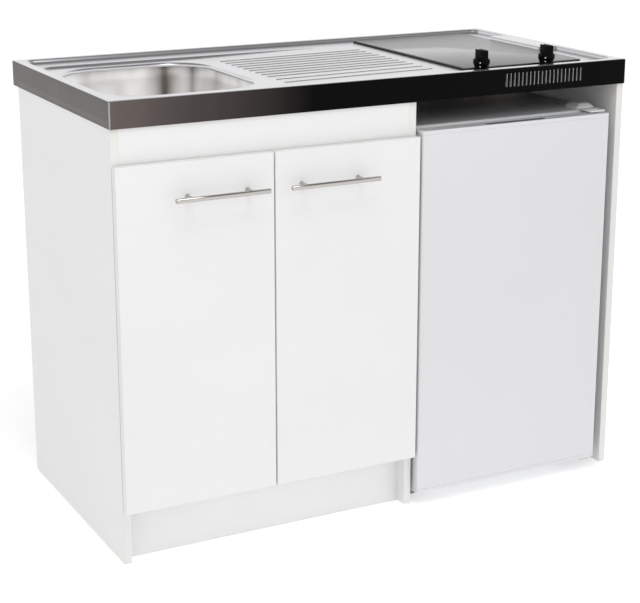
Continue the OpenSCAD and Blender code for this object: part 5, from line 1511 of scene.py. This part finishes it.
rack_levels = ((90, 180), (360, 430), (560, 620))
inner = Piece("door_liner_drawn", liner_plastic)
inner.skinned([front_ring((77.8, 30.8, 551.2, 835.2), *step) for step in
               ((0, 2, 18.2), (0, 2, 19.4), (0.6, 2, 20), (6.6, 8, 20), (7.3, 8, 20.6), (7.6, 8, 22),
                (8, 8, 26.6), (8.8, 8, 27.6), (10.4, 8, 28), (26, 8, 28), (27.4, 8, 27.7), (28.6, 8, 27.2))])
for x in (118, 499):
    inner.skinned([front_ring((x, 86, x + 12, 778), inset, 5, y) for inset, y in
                   ((-1, 26.9), (0, 28.6), (0.2, 48.6), (1, 51), (2.6, 52))])
for _, rack_top in rack_levels:
    for x in (128.4, 497.4):
        inner.block((x, 33, rack_top - 26), (x + 3.2, 49, rack_top - 20), ease=1)
inner.done("liner_plastic", "fridge_door_liner", door_body, crisp=50)

racks = Piece("door_racks_moulded", rack_plastic, trim_white)
for rack_floor, rack_top in rack_levels:
    racks.tub((130.2, 28.4, rack_floor), (498.8, 89.2, rack_top), 2.0, 8, draft=1.0)
    racks.block((138, 87.2, rack_top - 15), (491, 90, rack_top - 4), finish=1, ease=0.9)
racks.done("clear_plastic", "door_racks", door_body, crisp=50)

seal_section = ((0, 28), (0.4, 29.6), (2.4, 30.4), (0.9, 31.6), (0.4, 33), (1.2, 35.4), (2.8, 36.9),
                (4, 37.2), (10, 37.2), (11.4, 36.8), (12.8, 35.4), (13.6, 33), (13, 31.6), (11.6, 30.4),
                (13.6, 29.6), (14, 28))
gasket = Piece("magnetic_seal", gasket_grey)
gasket.skinned([front_ring((87, 40, 542, 826), inset, 14.5 - inset, y, corner=4)
                for inset, y in seal_section], ends="joined")
gasket.done("grey_seal", "door_gasket", door_body, crisp=50)

# %% [markdown]
# The door turns on two pins in bent plates. A small cap hides the screws of the upper plate.

# %% Hinges, cap and feet
upper = Piece("upper_hinge_plate", trim_white, zinc)
upper.slab(round_ring((510, -2, 550, 88), 0, 6, 0), case_z1, 841, ease=0.6)
upper.turned([(0, -16), (3.2, -16), (4, -15), (4, 4.6), (3.4, 5.1), (0, 5.1)], (pin_x, pin_y, high_z),
             finish=1, sides=24)
upper.lay(screw_head, [(522, 66, 840.9), (540, 66, 840.9), (531, 80, 840.9)], upwards, 1)
upper.done("bright_steel", "top_hinge")

cover = Piece("hinge_cap_moulded", trim_white, dark_plastic)
cover.skinned([round_ring((506, 40, 552, 94), inset, 9 - 0.5 * inset, case_z1 + rise) for inset, rise in
               ((0, 0), (0, 3.2), (0.4, 4.4), (1.6, 5.6), (8, 10.6), (10, 11.6), (12.5, 12))])
cover.turned([(0, -0.5), (4.2, -0.5), (4.2, 0.4), (3.4, 0.8), (1.4, 0.8), (1.2, 0), (0, 0)],
             (529, 67, 849.2), finish=1, sides=24)
cover.done("white_plastic", "hinge_cover")

lower = Piece("lower_hinge_plate", zinc)
lower.slab(round_ring((518, -2, 550, 78), 0, 6, 0), 22, case_z0, ease=0.6)
lower.turned([(0, -0.4), (4, -0.4), (4, 18.6), (3.2, 20), (0, 20)], (pin_x, pin_y, case_z0), sides=24)
lower.lay(screw_head, [(527, 50, 22.1), (541, 50, 22.1), (534, 68, 22.1)], (0, 0, -1))
lower.done("bright_steel", "bottom_hinge")

# The feet's grey finish is painted shade.
foot_rib = block_part("foot_rib", feet_painted_shade, (-0.6, -0.9, 3), (0.6, 0.9, 13), ease=0.4)
feet = Piece("screw_feet", feet_painted_shade)
for x in (105, 508):
    for y in (64, 258):
        feet.turned([(0, 0), (10.6, 0), (12, 0.8), (12.4, 2), (12.4, 14), (11.6, 15.4), (10, 16), (5, 16),
                     (5, 26.4), (0, 26.4)], (x, y, 0), sides=32)
        feet.ring_of(foot_rib, 18, 12.4, at(x, y, 0))
feet.done("white_plastic", "fridge_feet")

# %% [markdown]
# At the back, the compressor is a welded can on rubber feet. The condenser is one tube bent to and fro,
# with thin wires welded across it: the tube comes from the pipe recipe, the wires from the one that
# lays parts at places.

# %% Compressor and condenser
base = Piece("compressor_tray", galvanised)
base.block((77.8, niche_y, case_z0), (551.2, case_y1, 29), ease=0.8)
for x in (77.8, 549.7):
    base.block((x, niche_y, case_z0), (x + 1.5, case_y1, niche_z), ease=0.4)
for y in (300, 404):
    base.block((120, y - 3, 28.4), (300, y + 3, 30.2), ease=0.8)
base.done("tray_steel", "compressor_plate")

can_x, can_y, can_z, can_height = 390, 353, 44, 120
can = Piece("compressor_can", black_enamel, dark_plastic, zinc)
crown_turns = [radians(angle) for angle in range(15, 91, 15)]
crown = [(38 + 20 * sin(turn), 100 + 20 * cos(turn)) for turn in crown_turns]
can.turned([(0, can_height), (38, can_height), *crown, (58, 66), (59.4, 66), (60, 65.4), (60, 60.6),
            (59.4, 60), (58, 60), (58, 8), (55, 3), (50, 0), (0, 0)], (can_x, can_y, can_z), sides=64)
can.slab(round_ring((can_x - 75, can_y - 50, can_x + 75, can_y + 50), 0, 10, 0), 41, can_z, ease=0.8)
foot_places = [(can_x + x, can_y + y) for x in (-64, 64) for y in (-39, 39)]
for x, y in foot_places:
    can.turned([(0, 0), (7, 0), (7, 4), (5.4, 5.4), (7, 6.8), (7, 12), (0, 12)], (x, y, 29), finish=1,
               sides=24)
can.lay(screw_head, [(x, y, can_z) for x, y in foot_places], upwards, 2)
can.block((can_x + 50, can_y - 25, 54), (can_x + 86, can_y + 25, 99), finish=1, ease=3, steps=3)
can.block((can_x + 80, can_y - 20, 60), (can_x + 86.8, can_y + 20, 93), finish=1, ease=1)
can.done("black_enamel", "compressor")

coil_y, coil_x0, coil_x1, coil_z, coil_step, coil_runs = 440, 122, 507, 240, 48, 11
bend_radius, low_run_z = coil_step / 2, can_z + can_height / 3
turns = []
for run in range(coil_runs):
    ends = [coil_x0 - bend_radius, coil_x1 + bend_radius]
    turns += [(x, coil_y, coil_z + run * coil_step) for x in (ends if run % 2 == 0 else reversed(ends))]
turns[-1] = (coil_x1, *turns[-1][1:])
tail = [(can_x, can_y + 58.1, low_run_z), (can_x, coil_y, low_run_z),
        (coil_x0 - bend_radius, coil_y, low_run_z)]
coil = Piece("condenser_tube_bent", black_enamel)
coil.add(bent_pipe.make(line_mesh(tail + turns), bend=bend_radius, radius=2.5, sides=12, finish=black_enamel))
for x in (coil_x0 + 25, coil_x1 - 25):
    for run in (1, coil_runs - 2):
        coil.turned([(0, 0), (6, 0), (6, 1.5), (4, 2.4), (4, 9), (0, 12)],
                    (x, case_y1, coil_z + run * coil_step), "Y", sides=20)
coil.done("black_enamel", "condenser_tube")

wire_count = 22
wire_pitch = (coil_x1 - coil_x0 - 20) / (wire_count - 1)
wire = turned_part("wire", black_enamel,
                   [(0, 0), (0.6, 0), (0.8, 0.3), (0.8, 499.7), (0.6, 500), (0, 500)], 8)
places = [(coil_x0 + 10 + i * wire_pitch, coil_y + 3.4, coil_z - 10) for i in range(wire_count)]
wires = Piece("condenser_wires_welded", black_enamel)
wires.lay(wire, places, upwards)
wires.done("black_enamel", "condenser_wires")

# %% [markdown]
# ## Clearing the bench
# The loose parts that recipes repeated are taken off the bench.

# %% Clearing the bench
for part in loose_parts:
    bpy.data.objects.remove(part)
